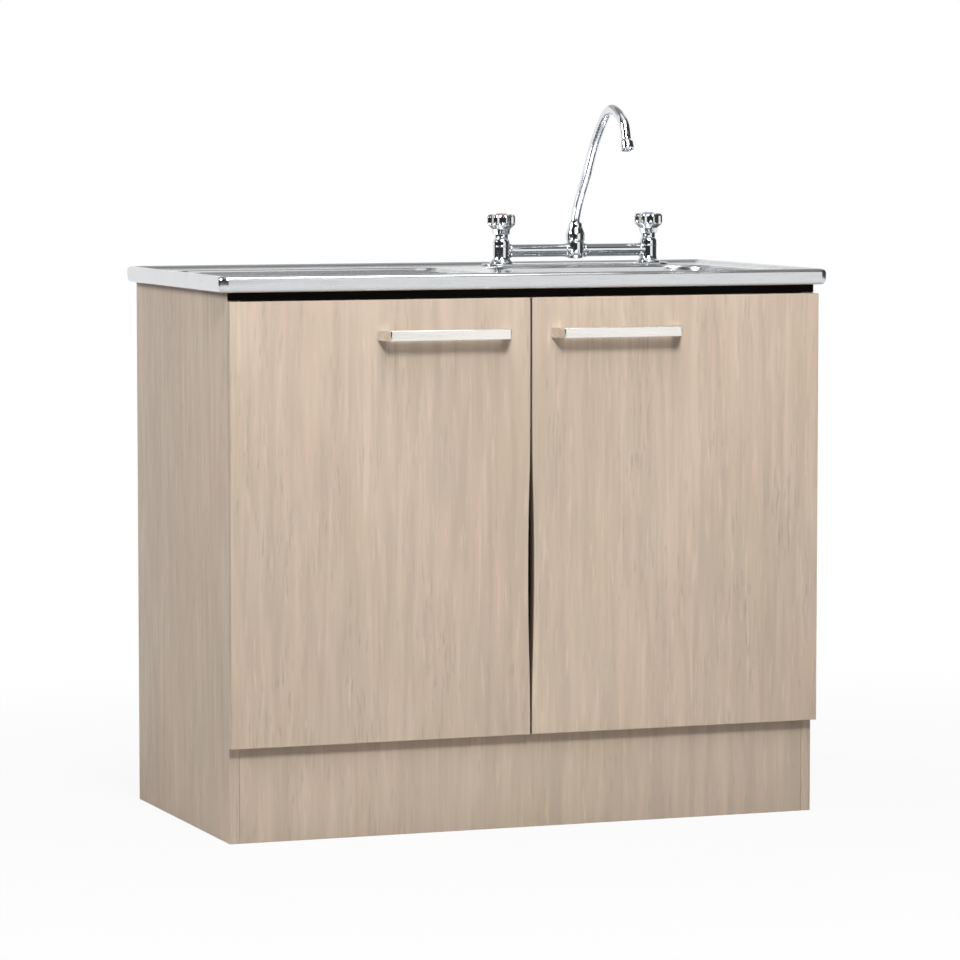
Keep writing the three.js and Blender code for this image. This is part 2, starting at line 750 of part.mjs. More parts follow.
// The meeting edge is straight, then hollows smoothly and comes back at the bottom corner.
function doorOutline() {
  const outer = -doorOuterX;
  const meeting = -doorMeetingX;
  const hollow = meeting - RELIEF_DEPTH;
  const shape = new THREE.Shape();
  shape.moveTo(outer, DOOR_BOTTOM);
  shape.lineTo(meeting, DOOR_BOTTOM);
  const lowerReach = (RELIEF_WIDEST - DOOR_BOTTOM) / 2;
  const upperReach = (RELIEF_TOP - RELIEF_WIDEST) / 2;
  shape.bezierCurveTo(
    meeting,
    DOOR_BOTTOM + lowerReach,
    hollow,
    RELIEF_WIDEST - lowerReach,
    hollow,
    RELIEF_WIDEST,
  );
  shape.bezierCurveTo(
    hollow,
    RELIEF_WIDEST + upperReach,
    meeting,
    RELIEF_TOP - upperReach,
    meeting,
    RELIEF_TOP,
  );
  shape.lineTo(meeting, doorTopZ);
  shape.lineTo(outer, doorTopZ);
  return shape;
}

function screwPlaces() {
  return [-1, 1].map((sign) => -handleX + sign * HANDLE_SCREW_SPACING / 2);
}

// The left door, before it is mirrored for the right side.
function doorSolid() {
  const board = pushedBack(doorOutline(), doorFrontY, DOOR_THICKNESS, DOOR_EDGE_ROUND);
  const cups = Object.values(hingeHeights).map((z) => rodY(
    -sideOuterX + cupX,
    doorRearY - CUP_DEPTH - SEAT_GAP,
    z,
    CUP_RADIUS + SEAT_GAP,
    CUP_DEPTH + PAST,
  ));
  const screwHoles = screwPlaces().map((x) => rodY(
    x,
    doorFrontY - PAST,
    handleZ,
    SCREW_RADIUS + SEAT_GAP,
    DOOR_THICKNESS + 2 * PAST,
    SMALL_ROUND,
  ));
  return cut(board, ...cups, ...screwHoles);
}

// The bar seen from above: a flat front whose ends slant back to two feet on the door.
function handleSolid() {
  const back = doorFrontY - SEAT_GAP;
  const front = back - HANDLE_PROJECTION;
  const end = HANDLE_LENGTH / 2;
  const face = HANDLE_FACE_LENGTH / 2;
  const shape = outline([
    [-end, back],
    [-face, front],
    [face, front],
    [end, back],
    [end - HANDLE_FOOT, back],
    [face - HANDLE_BAR, front + HANDLE_BAR],
    [-face + HANDLE_BAR, front + HANDLE_BAR],
    [-end + HANDLE_FOOT, back],
  ]);
  const bar = new THREE.ExtrudeGeometry(shape, {
    depth: HANDLE_HEIGHT - 2 * HANDLE_EDGE,
    bevelSize: HANDLE_EDGE,
    bevelOffset: -HANDLE_EDGE,
    bevelThickness: HANDLE_EDGE,
    bevelSegments: 2,
  }).translate(-handleX, 0, handleZ - HANDLE_HEIGHT / 2 + HANDLE_EDGE);
  const holes = screwPlaces().map((x) => rodY(
    x,
    back - SCREW_BITE - SEAT_GAP,
    handleZ,
    SCREW_RADIUS + SEAT_GAP,
    SCREW_BITE + PAST,
    SMALL_ROUND,
  ));
  return cut(bar, ...holes);
}

function handleScrew(x) {
  const tip = doorFrontY - SEAT_GAP - SCREW_BITE;
  const underHead = doorRearY + SEAT_GAP;
  const shank = rodY(x, tip, handleZ, SCREW_RADIUS, underHead - tip + OVERLAP, SMALL_ROUND);
  const head = rodY(x, underHead, handleZ, SCREW_HEAD_RADIUS, SCREW_HEAD_HEIGHT, SMALL_ROUND);
  const slot = block(
    x - SCREW_HEAD_RADIUS,
    underHead + SCREW_HEAD_HEIGHT / 2,
    handleZ - SEAT_GAP,
    2 * SCREW_HEAD_RADIUS,
    SCREW_HEAD_HEIGHT,
    2 * SEAT_GAP,
  );
  return cut(join(shank, head), slot);
}

// The hinge parts are drawn at x = 0 on the outer face of the left side panel, about z = 0.

function hingeCup() {
  const mouthY = doorRearY;
  const bottomY = mouthY - CUP_DEPTH;
  const shell = turned([
    [0, 0],
    [CUP_RADIUS, 0],
    [CUP_RADIUS, CUP_DEPTH + SEAT_GAP + OVERLAP / 2],
    [CUP_RADIUS - CUP_WALL, CUP_DEPTH + SEAT_GAP + OVERLAP / 2],
    [CUP_RADIUS - CUP_WALL, CUP_WALL],
    [0, CUP_WALL],
  ]).rotateX(-Math.PI / 2).translate(cupX, bottomY, 0);
  const flangeY = mouthY + SEAT_GAP;
  const flangePlate = block(
    cupX - CUP_FLANGE_WIDTH / 2 + CUP_EDGE,
    flangeY,
    -CUP_FLANGE_HEIGHT / 2,
    CUP_FLANGE_WIDTH,
    CUP_FLANGE,
    CUP_FLANGE_HEIGHT,
  );
  const rimDisc = rodY(cupX, flangeY, 0, CUP_RADIUS + CUP_WALL, CUP_FLANGE);
  const mouth = rodY(cupX, flangeY - PAST, 0, CUP_RADIUS - CUP_WALL, CUP_FLANGE + 2 * PAST);
  const flange = cut(join(flangePlate, rimDisc), mouth);
  const pin = post(CUP_PIVOT_X, CUP_PIVOT_Y, -pinReach(), PIVOT_PIN, 2 * pinReach(), SMALL_ROUND);
  return join(shell, flange, pin);
}

// Half the length of the pin across the cup, from wall to wall.
function pinReach() {
  const offset = cupX - CUP_PIVOT_X + PIVOT_PIN;
  const wallMiddle = CUP_RADIUS - CUP_WALL / 2;
  return Math.sqrt(wallMiddle * wallMiddle - offset * offset);
}

function hingeLink() {
  const hole = PIVOT_PIN + PIVOT_CLEARANCE;
  const dx = ARM_PIVOT_X - CUP_PIVOT_X;
  const dy = ARM_PIVOT_Y - CUP_PIVOT_Y;
  const length = Math.hypot(dx, dy);
  const bend = outline([
    [0, -LINK_HALF_WIDTH],
    [length * 0.22, -LINK_BOW - LINK_HALF_WIDTH],
    [length * 0.5, -LINK_BOW - LINK_HALF_WIDTH],
    [length, -LINK_HALF_WIDTH],
    [length, LINK_HALF_WIDTH],
    [length * 0.5, -LINK_BOW + LINK_HALF_WIDTH],
    [length * 0.22, -LINK_BOW + LINK_HALF_WIDTH],
    [0, LINK_HALF_WIDTH],
  ]);
  const bar = raised(bend, -LINK_HEIGHT / 2, LINK_HEIGHT)
    .rotateZ(Math.atan2(dy, dx))
    .translate(CUP_PIVOT_X, CUP_PIVOT_Y, 0);
  const eyes = [[CUP_PIVOT_X, CUP_PIVOT_Y], [ARM_PIVOT_X, ARM_PIVOT_Y]];
  const bosses = eyes.map(([x, y]) => post(x, y, -LINK_HEIGHT / 2, LINK_EYE, LINK_HEIGHT, SMALL_ROUND));
  const bores = eyes.map(([x, y]) => post(
    x,
    y,
    -LINK_HEIGHT / 2 - PAST,
    hole,
    LINK_HEIGHT + 2 * PAST,
    SMALL_ROUND,
  ));
  return cut(join(bar, ...bosses), ...bores);
}

// The arm: a channel on the mounting plate, narrowing to two cheeks that hold the link's pin.
function hingeArm() {
  const halfLink = LINK_HEIGHT / 2 + SEAT_GAP;
  const halfArm = halfLink + ARM_CHEEK;
  const plateFaceX = BOARD + SEAT_GAP + HINGE_PLATE_THICKNESS + SEAT_GAP;
  const noseFrontY = ARM_PIVOT_Y - LINK_EYE;
  const shape = outline([
    [ARM_PIVOT_X - LINK_EYE, ARM_PIVOT_Y],
    [ARM_PIVOT_X - LINK_EYE / 2, noseFrontY + SEAT_GAP],
    [ARM_PIVOT_X + LINK_EYE / 2, noseFrontY + SEAT_GAP],
    [ARM_PIVOT_X + LINK_EYE, ARM_PIVOT_Y],
    [ARM_PIVOT_X + LINK_EYE, ARM_PIVOT_Y + 2 * LINK_EYE],
    [plateFaceX + 2 * LINK_EYE, HINGE_PLATE_SETBACK],
    [plateFaceX + 2 * LINK_EYE, ARM_REACH],
    [plateFaceX, ARM_REACH],
    [plateFaceX, HINGE_PLATE_SETBACK],
  ]);
  const body = raised(shape, -halfArm, 2 * halfArm);
  const slot = block(
    ARM_PIVOT_X - 3 * LINK_EYE,
    ARM_PIVOT_Y - 2 * LINK_EYE,
    -halfLink,
    6 * LINK_EYE,
    4 * LINK_EYE,
    2 * halfLink,
  );
  const pin = post(
    ARM_PIVOT_X,
    ARM_PIVOT_Y,
    -halfArm + OVERLAP,
    PIVOT_PIN,
    2 * (halfArm - OVERLAP),
    SMALL_ROUND,
  );
  return join(cut(body, slot), pin);
}

function hingePlate() {
  const x = BOARD + SEAT_GAP;
  const spine = block(
    x,
    HINGE_PLATE_SETBACK,
    -LINK_HEIGHT,
    HINGE_PLATE_THICKNESS,
    HINGE_PLATE_LENGTH,
    2 * LINK_HEIGHT,
  );
  const wingDepth = 2 * LINK_HEIGHT;
  const wing = block(
    x,
    HINGE_PLATE_SETBACK + wingDepth / 2,
    -HINGE_PLATE_WING / 2,
    HINGE_PLATE_THICKNESS / 2,
    wingDepth,
    HINGE_PLATE_WING,
  );
  const screws = [-1, 1].map((sign) => rodX(
    x + OVERLAP,
    HINGE_PLATE_SETBACK + wingDepth,
    sign * (HINGE_PLATE_WING / 2 - 1.5 * SCREW_HEAD_RADIUS),
    SCREW_HEAD_RADIUS,
    HINGE_PLATE_THICKNESS / 2 + SCREW_HEAD_HEIGHT / 2,
    SMALL_ROUND,
  ));
  return join(spine, wing, ...screws);
}

// Mirroring turns a solid inside out, so each triangle is turned round again.
function mirrored(geometry) {
  const copy = geometry.clone().scale(-1, 1, 1);
  const index = Array.from(copy.index.array);
  for (let corner = 0; corner < index.length; corner += 3) {
    [index[corner], index[corner + 1]] = [index[corner + 1], index[corner]];
  }
  copy.setIndex(index);
  copy.computeVertexNormals();
  return copy;
}

function addDoorSide(side) {
  const fit = (geometry) => (side === 'left' ? geometry : mirrored(geometry));
  const group = new THREE.Group();
  place(group, `door_${side}`, fit(doorSolid()), OAK);
  place(group, `handle_${side}`, fit(handleSolid()), SATIN);
  screwPlaces().forEach((x, number) => {
    place(group, `handle_screw_${side}_${number + 1}`, fit(handleScrew(x)), NICKEL);
  });
  for (const [level, z] of Object.entries(hingeHeights)) {
    const put = (geometry) => fit(geometry.translate(-sideOuterX, 0, z));
    place(group, `hinge_cup_${side}_${level}`, put(hingeCup()), NICKEL);
    place(group, `hinge_link_${side}_${level}`, put(hingeLink()), NICKEL);
    place(group, `hinge_arm_${side}_${level}`, put(hingeArm()), NICKEL);
    place(group, `hinge_plate_${side}_${level}`, put(hingePlate()), NICKEL);
  }
  unit.add(group);
}

// ---------------------------------------------------------------- tap

const plateTop = SEAT_GAP + TAP_PLATE_THICKNESS;

// The tap is drawn about its own centre on the deck: z = 0 is the deck, -Y is towards the user.
const tap = new THREE.Group();
tap.position.set(tapX, tapY, deckZ);

function inletX(side) {
  return (side === 'hot' ? -1 : 1) * TAP_INLET_SPACING / 2;
}

function tapPlate() {
  const shape = roundedOutline(TAP_PLATE_LENGTH, TAP_PLATE_DEPTH, TAP_PLATE_DEPTH / 2);
  const plate = new THREE.ExtrudeGeometry(shape, {
    depth: TAP_PLATE_THICKNESS - TAP_PLATE_EDGE,
    bevelSize: TAP_PLATE_EDGE,
    bevelOffset: -TAP_PLATE_EDGE,
    bevelThickness: TAP_PLATE_EDGE,
    bevelSegments: 1,
    curveSegments: 8,
  }).translate(0, 0, SEAT_GAP);
  const flatUnder = block(
    -TAP_PLATE_LENGTH,
    -TAP_PLATE_DEPTH,
    SEAT_GAP - PAST,
    2 * TAP_PLATE_LENGTH,
    2 * TAP_PLATE_DEPTH,
    PAST,
  );
  const holes = ['hot', 'cold'].map((side) => post(
    inletX(side),
    0,
    -PAST,
    SHANK_RADIUS + SEAT_GAP,
    TAP_PLATE_THICKNESS + 2 * PAST,
  ));
  return cut(plate, flatUnder, ...holes);
}

function tapBody() {
  const footZ = plateTop + SEAT_GAP;
  const columnTop = POST_TOP_ABOVE_DECK;
  const columns = ['hot', 'cold'].map((side) => turned([
    [0, footZ],
    [POST_FOOT_RADIUS, footZ],
    [POST_FOOT_RADIUS, footZ + POST_FOOT_HEIGHT / 4],
    [POST_RADIUS + (POST_FOOT_RADIUS - POST_RADIUS) / 3, footZ + POST_FOOT_HEIGHT * 0.55],
    [POST_RADIUS, footZ + POST_FOOT_HEIGHT],
    [POST_RADIUS, columnTop - POST_TOP_ROUND],
    [POST_RADIUS - POST_TOP_ROUND / 2, columnTop],
    [0, columnTop],
  ]).translate(inletX(side), 0, 0));
  const bar = rodX(-TAP_INLET_SPACING / 2, 0, BRIDGE_ABOVE_DECK, BRIDGE_RADIUS, TAP_INLET_SPACING);
  const hubBottom = BRIDGE_ABOVE_DECK - BRIDGE_RADIUS - HUB_BELOW_BRIDGE;
  const hub = turned([
    [0, hubBottom],
    [HUB_RADIUS - HUB_BELOW_BRIDGE, hubBottom],
    [HUB_RADIUS, hubBottom + 1.5 * HUB_BELOW_BRIDGE],
    [HUB_RADIUS, HUB_TOP_ABOVE_DECK],
    [0, HUB_TOP_ABOVE_DECK],
  ]);
  const sockets = ['hot', 'cold'].map((side) => post(
    inletX(side),
    0,
    footZ - PAST,
    SHANK_RADIUS + SEAT_GAP,
    SHANK_SOCKET + PAST,
  ));
  const spoutSeat = post(
    0,
    0,
    HUB_TOP_ABOVE_DECK - SPOUT_SOCKET,
    SPOUT_RADIUS + SEAT_GAP,
    SPOUT_SOCKET + PAST,
  );
  return cut(join(...columns, bar, hub), ...sockets, spoutSeat);
}

function spoutNut() {
  const bottom = HUB_TOP_ABOVE_DECK + SEAT_GAP;
  const top = bottom + SPOUT_NUT_HEIGHT;
  return turned([
    [SPOUT_RADIUS + SEAT_GAP, bottom],
    [SPOUT_NUT_RADIUS, bottom],
    [SPOUT_NUT_RADIUS, bottom + SPOUT_NUT_HEIGHT * 0.45],
    [(SPOUT_NUT_RADIUS + SPOUT_NUT_NECK) / 2 + 0.5, bottom + SPOUT_NUT_HEIGHT * 0.6],
    [SPOUT_NUT_NECK, top],
    [SPOUT_RADIUS + SEAT_GAP, top],
  ]);
}

// The stem leaves the nut upright, leans forward, and hooks over at the top.
// It stays straight past the top of the nut, so that it turns freely inside it.
function spoutCurve() {
  const foot = HUB_TOP_ABOVE_DECK - SPOUT_SOCKET + SEAT_GAP;
  const nutTop = HUB_TOP_ABOVE_DECK + SPOUT_NUT_HEIGHT + SEAT_GAP;
  const apex = SPOUT_APEX_ABOVE_DECK;
  const points = [
    [0, foot],
    [0, (foot + nutTop) / 2],
    [0, nutTop],
    [0, nutTop + SPOUT_RADIUS / 2],
    [SPOUT_LEAN_FORWARD * 0.24, nutTop + (SPOUT_LEAN_ABOVE_DECK - nutTop) * 0.36],
    [SPOUT_LEAN_FORWARD, SPOUT_LEAN_ABOVE_DECK],
    [SPOUT_RISE_FORWARD, SPOUT_RISE_ABOVE_DECK],
    [SPOUT_APEX_FORWARD, apex],
    [SPOUT_FALL_FORWARD, SPOUT_FALL_ABOVE_DECK],
    [SPOUT_TIP_FORWARD, SPOUT_TIP_ABOVE_DECK],
  ].map(([forward, z]) => new THREE.Vector3(0, -forward, z));
  return new THREE.CatmullRomCurve3(points, false, 'centripetal');
}

const SPOUT_STEPS = 34;
const TUBE_SIDES = 10;

function circleShape(radius, sides) {
  const points = [];
  for (let side = 0; side < sides; side += 1) {
    const angle = side / sides * 2 * Math.PI;
    points.push([radius * Math.cos(angle), radius * Math.sin(angle)]);
  }
  return outline(points);
}

function spoutTube() {
  const section = circleShape(SPOUT_RADIUS, TUBE_SIDES);
  section.holes.push(circleShape(SPOUT_BORE, TUBE_SIDES));
  return new THREE.ExtrudeGeometry(section, { steps: SPOUT_STEPS, extrudePath: spoutCurve() });
}

function aerator() {
  const curve = spoutCurve();
  const tip = curve.getPoint(1);
  const direction = curve.getTangent(1);
  const body = turned([
    [0, SEAT_GAP],
    [SPOUT_RADIUS, SEAT_GAP],
    [(SPOUT_RADIUS + AERATOR_RADIUS) / 2, AERATOR_SHOULDER * 0.6],
    [AERATOR_RADIUS, AERATOR_SHOULDER],
    [AERATOR_RADIUS, AERATOR_LENGTH - AERATOR_LIP / 2],
    [AERATOR_RADIUS - AERATOR_LIP / 2, AERATOR_LENGTH],
    [AERATOR_RADIUS - AERATOR_LIP, AERATOR_LENGTH],
    [AERATOR_RADIUS - AERATOR_LIP, AERATOR_LENGTH - AERATOR_SHOULDER],
    [0, AERATOR_LENGTH - AERATOR_SHOULDER],
  ]);
  const turn = new THREE.Quaternion().setFromUnitVectors(new THREE.Vector3(0, 0, 1), direction);
  return body.applyQuaternion(turn).translate(tip.x, tip.y, tip.z);
}

function headwork() {
  const base = POST_TOP_ABOVE_DECK + SEAT_GAP;
  return turned([
    [0, base],
    [HEADWORK_RADIUS, base],
    [HEADWORK_RADIUS, base + HEADWORK_HEIGHT - HEADWORK_CHAMFER],
    [HEADWORK_RADIUS - HEADWORK_CHAMFER, base + HEADWORK_HEIGHT],
    [SPINDLE_RADIUS, base + HEADWORK_HEIGHT],
    [SPINDLE_RADIUS, base + HEADWORK_HEIGHT + SPINDLE_HEIGHT],
    [0, base + HEADWORK_HEIGHT + SPINDLE_HEIGHT],
  ]);
}

const knobBottom = POST_TOP_ABOVE_DECK + KNOB_ABOVE_POST;
const knobTop = knobBottom + KNOB_HEIGHT;

// A fluted grip above a plain skirt; the skirt covers the headwork, and the spindle fits inside.
function knob() {
  const lobed = [];
  const samples = KNOB_LOBES * 4;
  for (let sample = 0; sample < samples; sample += 1) {
    const angle = sample / samples * 2 * Math.PI;
    const radius = KNOB_RADIUS + KNOB_LOBE * Math.cos(KNOB_LOBES * angle);
    lobed.push([radius * Math.cos(angle), radius * Math.sin(angle)]);
  }
  const gripBottom = knobTop - KNOB_GRIP_HEIGHT;
  const grip = new THREE.ExtrudeGeometry(outline(lobed), {
    depth: KNOB_GRIP_HEIGHT - 2 * KNOB_EDGE,
    bevelSize: KNOB_EDGE,
    bevelOffset: -KNOB_EDGE,
    bevelThickness: KNOB_EDGE,
    bevelSegments: 1,
  }).translate(0, 0, gripBottom + KNOB_EDGE);
  const cavityRadius = HEADWORK_RADIUS + KNOB_CLEARANCE;
  const skirtRadius = cavityRadius + KNOB_WALL;
  const skirt = turned([
    [0, knobBottom],
    [skirtRadius, knobBottom],
    [skirtRadius + KNOB_EDGE / 4, knobBottom + KNOB_WALL * 2],
    [KNOB_RADIUS - 2 * KNOB_EDGE, gripBottom + KNOB_EDGE],
    [0, gripBottom + KNOB_EDGE],
  ]);
  const headworkTop = POST_TOP_ABOVE_DECK + HEADWORK_HEIGHT;
  const cavityHeight = headworkTop + KNOB_CLEARANCE - knobBottom;
  const cavity = post(0, 0, knobBottom - PAST, cavityRadius, cavityHeight + PAST);
  const socket = post(
    0,
    0,
    knobBottom,
    SPINDLE_RADIUS + SEAT_GAP,
    headworkTop + SPINDLE_HEIGHT + 2 * SEAT_GAP - knobBottom,
  );
  const indexSeat = post(0, 0, knobTop - INDEX_HEIGHT / 2, INDEX_RADIUS + SEAT_GAP, INDEX_HEIGHT);
  return cut(join(grip, skirt), cavity, socket, indexSeat);
}

function indexCap() {
  const base = knobTop - INDEX_HEIGHT / 2 + SEAT_GAP;
  return turned([
    [0, base],
    [INDEX_RADIUS, base],
    [INDEX_RADIUS, base + INDEX_HEIGHT * 0.6],
    [INDEX_RADIUS * 0.78, base + INDEX_HEIGHT],
    [0, base + INDEX_HEIGHT],
  ]);
}

function shank() {
  const top = plateTop + SHANK_SOCKET;
  return sleeve(0, 0, top - SHANK_LENGTH, SHANK_RADIUS, SHANK_BORE, SHANK_LENGTH);
}

// A hexagon nut with a round washer face against the underside of the deck.
function backnut() {
  const top = -STEEL - SEAT_GAP;
  const bottom = top - BACKNUT_HEIGHT;
  const washer = post(0, 0, top - BACKNUT_WASHER, BACKNUT_RADIUS + BACKNUT_WASHER, BACKNUT_WASHER);
  const hexagonHeight = BACKNUT_HEIGHT - BACKNUT_WASHER + OVERLAP;
  const hexagon = post(0, 0, bottom, BACKNUT_RADIUS, hexagonHeight, 6);
  const thread = post(0, 0, bottom - PAST, SHANK_RADIUS + SEAT_GAP, BACKNUT_HEIGHT + 2 * PAST);
  return cut(join(washer, hexagon), thread);
}

function addTap() {
  place(tap, 'tap_deck_plate', tapPlate(), CHROME);
  place(tap, 'tap_body', tapBody(), CHROME);
  place(tap, 'spout_nut', spoutNut(), CHROME);
  place(tap, 'spout', spoutTube(), CHROME);
  place(tap, 'spout_aerator', aerator(), CHROME);
  for (const side of ['hot', 'cold']) {
    const x = inletX(side);
    place(tap, `tap_headwork_${side}`, headwork(), CHROME).position.x = x;
    place(tap, `tap_handle_${side}`, knob(), CHROME).position.x = x;
    place(tap, `tap_index_${side}`, indexCap(), side === 'hot' ? HOT : COLD).position.x = x;
    place(tap, `tap_shank_${side}`, shank(), BRASS).position.x = x;
    place(tap, `tap_backnut_${side}`, backnut(), BRASS).position.x = x;
  }
  unit.add(tap);
}

// ---------------------------------------------------------------- waste and trap

// The waste is drawn about its own axis: z = 0 is the steel's upper face round the waste hole.
const waste = new THREE.Group();
waste.position.set(bowlX, bowlY, wasteZ);

const flangeTop = SEAT_GAP + STRAINER_FLANGE;
const strainerFloor = -STRAINER_CUP_DEPTH;
const spigotEnd = strainerFloor - STRAINER_WALL - SPIGOT_LENGTH;
const tailTop = spigotEnd - SEAT_GAP;
const tailEnd = tailTop - TAILPIECE_LENGTH;
const trapTop = tailEnd + COUPLING_HEIGHT / 2;
const trapFloor = trapTop - TRAP_BODY_HEIGHT;
const outletZ = trapFloor + OUTLET_ABOVE_TRAP_FLOOR;

function strainerBody() {
  const spigotBore = SPIGOT_RADIUS - STRAINER_WALL;
  return turned([
    [spigotBore, spigotEnd],
    [SPIGOT_RADIUS, spigotEnd],
    [SPIGOT_RADIUS, strainerFloor - STRAINER_WALL],
    [STRAINER_CUP_RADIUS, strainerFloor - STRAINER_WALL],
    [STRAINER_CUP_RADIUS, 0],
    [WASTE_HOLE_RADIUS - SEAT_GAP, 0],
    [WASTE_HOLE_RADIUS - SEAT_GAP, SEAT_GAP],
    [STRAINER_FLANGE_RADIUS, SEAT_GAP + STRAINER_EDGE_HEIGHT],
    [STRAINER_FLANGE_RADIUS - STRAINER_EDGE_SLOPE, flangeTop],
    [WASTE_HOLE_RADIUS, flangeTop],
    [STRAINER_CUP_RADIUS - STRAINER_WALL, flangeTop - STRAINER_LIP_DROP],
    [STRAINER_CUP_RADIUS - STRAINER_WALL, strainerFloor],
    [spigotBore, strainerFloor],
  ]);
}

// A perforated cup with a centre knob, standing on the strainer's floor by its short stem.
function strainerBasket() {
  const top = -BASKET_BELOW_FLANGE;
  const floor = top - BASKET_DEPTH;
  const stemBottom = strainerFloor + SEAT_GAP;
  const cup = turned([
    [0, floor - BASKET_WALL],
    [BASKET_FLOOR_RADIUS, floor - BASKET_WALL],
    [BASKET_FLOOR_RADIUS + BASKET_HEEL, floor + BASKET_HEEL / 3],
    [BASKET_RADIUS, top - BASKET_WALL],
    [BASKET_RADIUS + 2 * BASKET_WALL, top],
    [BASKET_RADIUS + BASKET_WALL, top + BASKET_WALL],
    [BASKET_RADIUS - BASKET_WALL, top],
    [BASKET_FLOOR_RADIUS + BASKET_HEEL - BASKET_WALL, floor + BASKET_HEEL / 3 + BASKET_WALL / 2],
    [BASKET_FLOOR_RADIUS - BASKET_WALL, floor],
    [0, floor],
  ]);
  const feet = [0, 1, 2].map((leg) => {
    const angle = leg / 3 * 2 * Math.PI;
    const reach = SPIGOT_RADIUS + BASKET_FOOT_RADIUS;
    return post(
      reach * Math.cos(angle),
      reach * Math.sin(angle),
      stemBottom,
      BASKET_FOOT_RADIUS,
      floor - stemBottom,
      SMALL_ROUND,
    );
  });
  const knobTopZ = floor + BASKET_KNOB_HEIGHT;
  const knobShape = turned([
    [0, floor - OVERLAP],
    [BASKET_STEM_RADIUS, floor - OVERLAP],
    [BASKET_STEM_RADIUS, floor + BASKET_KNOB_HEIGHT / 2],
    [BASKET_KNOB_RADIUS, floor + BASKET_KNOB_HEIGHT * 0.7],
    [BASKET_KNOB_RADIUS, floor + BASKET_KNOB_HEIGHT * 0.87],
    [BASKET_KNOB_RADIUS * 0.72, knobTopZ],
    [0, knobTopZ],
  ]);
  const holes = [];
  for (let hole = 0; hole < BASKET_HOLES; hole += 1) {
    const angle = (hole + 0.5) / BASKET_HOLES * 2 * Math.PI;
    const reach = BASKET_RADIUS / 2;
    holes.push(post(
      reach * Math.cos(angle),
      reach * Math.sin(angle),
      floor - BASKET_WALL - PAST,
      BASKET_HOLE_RADIUS,
      BASKET_WALL + 2 * PAST,
      SMALL_ROUND,
    ));
  }
  return join(cut(cup, ...holes), knobShape, ...feet);
}

function strainerGasket() {
  const bottom = -STEEL - SEAT_GAP - GASKET_THICKNESS;
  return sleeve(0, 0, bottom, GASKET_RADIUS, STRAINER_CUP_RADIUS + SEAT_GAP, GASKET_THICKNESS);
}

function lockNut() {
  const bottom = -STEEL - 2 * SEAT_GAP - GASKET_THICKNESS - LOCKNUT_HEIGHT;
  const ringRadius = LOCKNUT_RADIUS - LOCKNUT_LUG / 2;
  const ring = sleeve(0, 0, bottom, ringRadius, STRAINER_CUP_RADIUS + SEAT_GAP, LOCKNUT_HEIGHT);
  const lug = block(
    LOCKNUT_RADIUS - LOCKNUT_LUG,
    -LOCKNUT_LUG / 2,
    bottom,
    LOCKNUT_LUG,
    LOCKNUT_LUG,
    LOCKNUT_HEIGHT,
  );
  return join(ring, ...turnedCopies(lug, LOCKNUT_LUGS));
}

// A coupling nut round the joint of two pipes, about height z.
function couplingNut(z) {
  const bore = SPIGOT_RADIUS + 2 * SEAT_GAP;
  const bottom = z - COUPLING_HEIGHT / 2;
  const ring = sleeve(0, 0, bottom, COUPLING_RADIUS - COUPLING_GRIP / 2, bore, COUPLING_HEIGHT);
  const grip = block(
    COUPLING_RADIUS - COUPLING_GRIP,
    -COUPLING_GRIP / 2,
    bottom,
    COUPLING_GRIP,
    COUPLING_GRIP,
    COUPLING_HEIGHT,
  );
  return join(ring, ...turnedCopies(grip, COUPLING_GRIPS));
}

function tailpiece() {
  const bore = PIPE_RADIUS - PIPE_WALL;
  return turned([
    [bore, tailEnd],
    [PIPE_RADIUS, tailEnd],
    [PIPE_RADIUS, tailTop - 2 * PIPE_WALL],
    [SPIGOT_RADIUS, tailTop - PIPE_WALL],
    [SPIGOT_RADIUS, tailTop],
    [bore, tailTop],
  ]);
}

// The bottle's upper half: an inlet neck on top, a spigot to the back, open underneath.
function trapBody() {
  const neckRadius = PIPE_RADIUS + TRAP_NECK_WALL;
  const neckBore = PIPE_RADIUS + SEAT_GAP;
  const neckTop = tailEnd + COUPLING_HEIGHT / 2 - SEAT_GAP;
  const neckBottom = neckTop - COUPLING_HEIGHT;
  const shoulder = neckBottom - TRAP_SHOULDER;
  const innerShoulder = shoulder - TRAP_SHOULDER / 2;
  const shell = turned([
    [TRAP_RADIUS - TRAP_WALL, trapFloor],
    [TRAP_RADIUS, trapFloor],
    [TRAP_RADIUS, shoulder],
    [neckRadius, neckBottom],
    [neckRadius, neckTop],
    [neckBore, neckTop],
    [neckBore, neckBottom - TRAP_SHOULDER / 2],
    [TRAP_RADIUS - TRAP_WALL, innerShoulder],
  ]);
  const spigot = rodY(0, 0, outletZ, SPIGOT_RADIUS, TRAP_RADIUS + TRAP_SPIGOT_REACH - SPIGOT_RADIUS);
  const bore = rodY(0, 0, outletZ, SPIGOT_RADIUS - PIPE_WALL, TRAP_RADIUS + TRAP_SPIGOT_REACH);
  const hollowHeight = innerShoulder - trapFloor + PAST;
  const hollow = post(0, 0, trapFloor - PAST, TRAP_RADIUS - TRAP_WALL, hollowHeight);
  return cut(join(shell, cut(spigot, hollow)), bore);
}

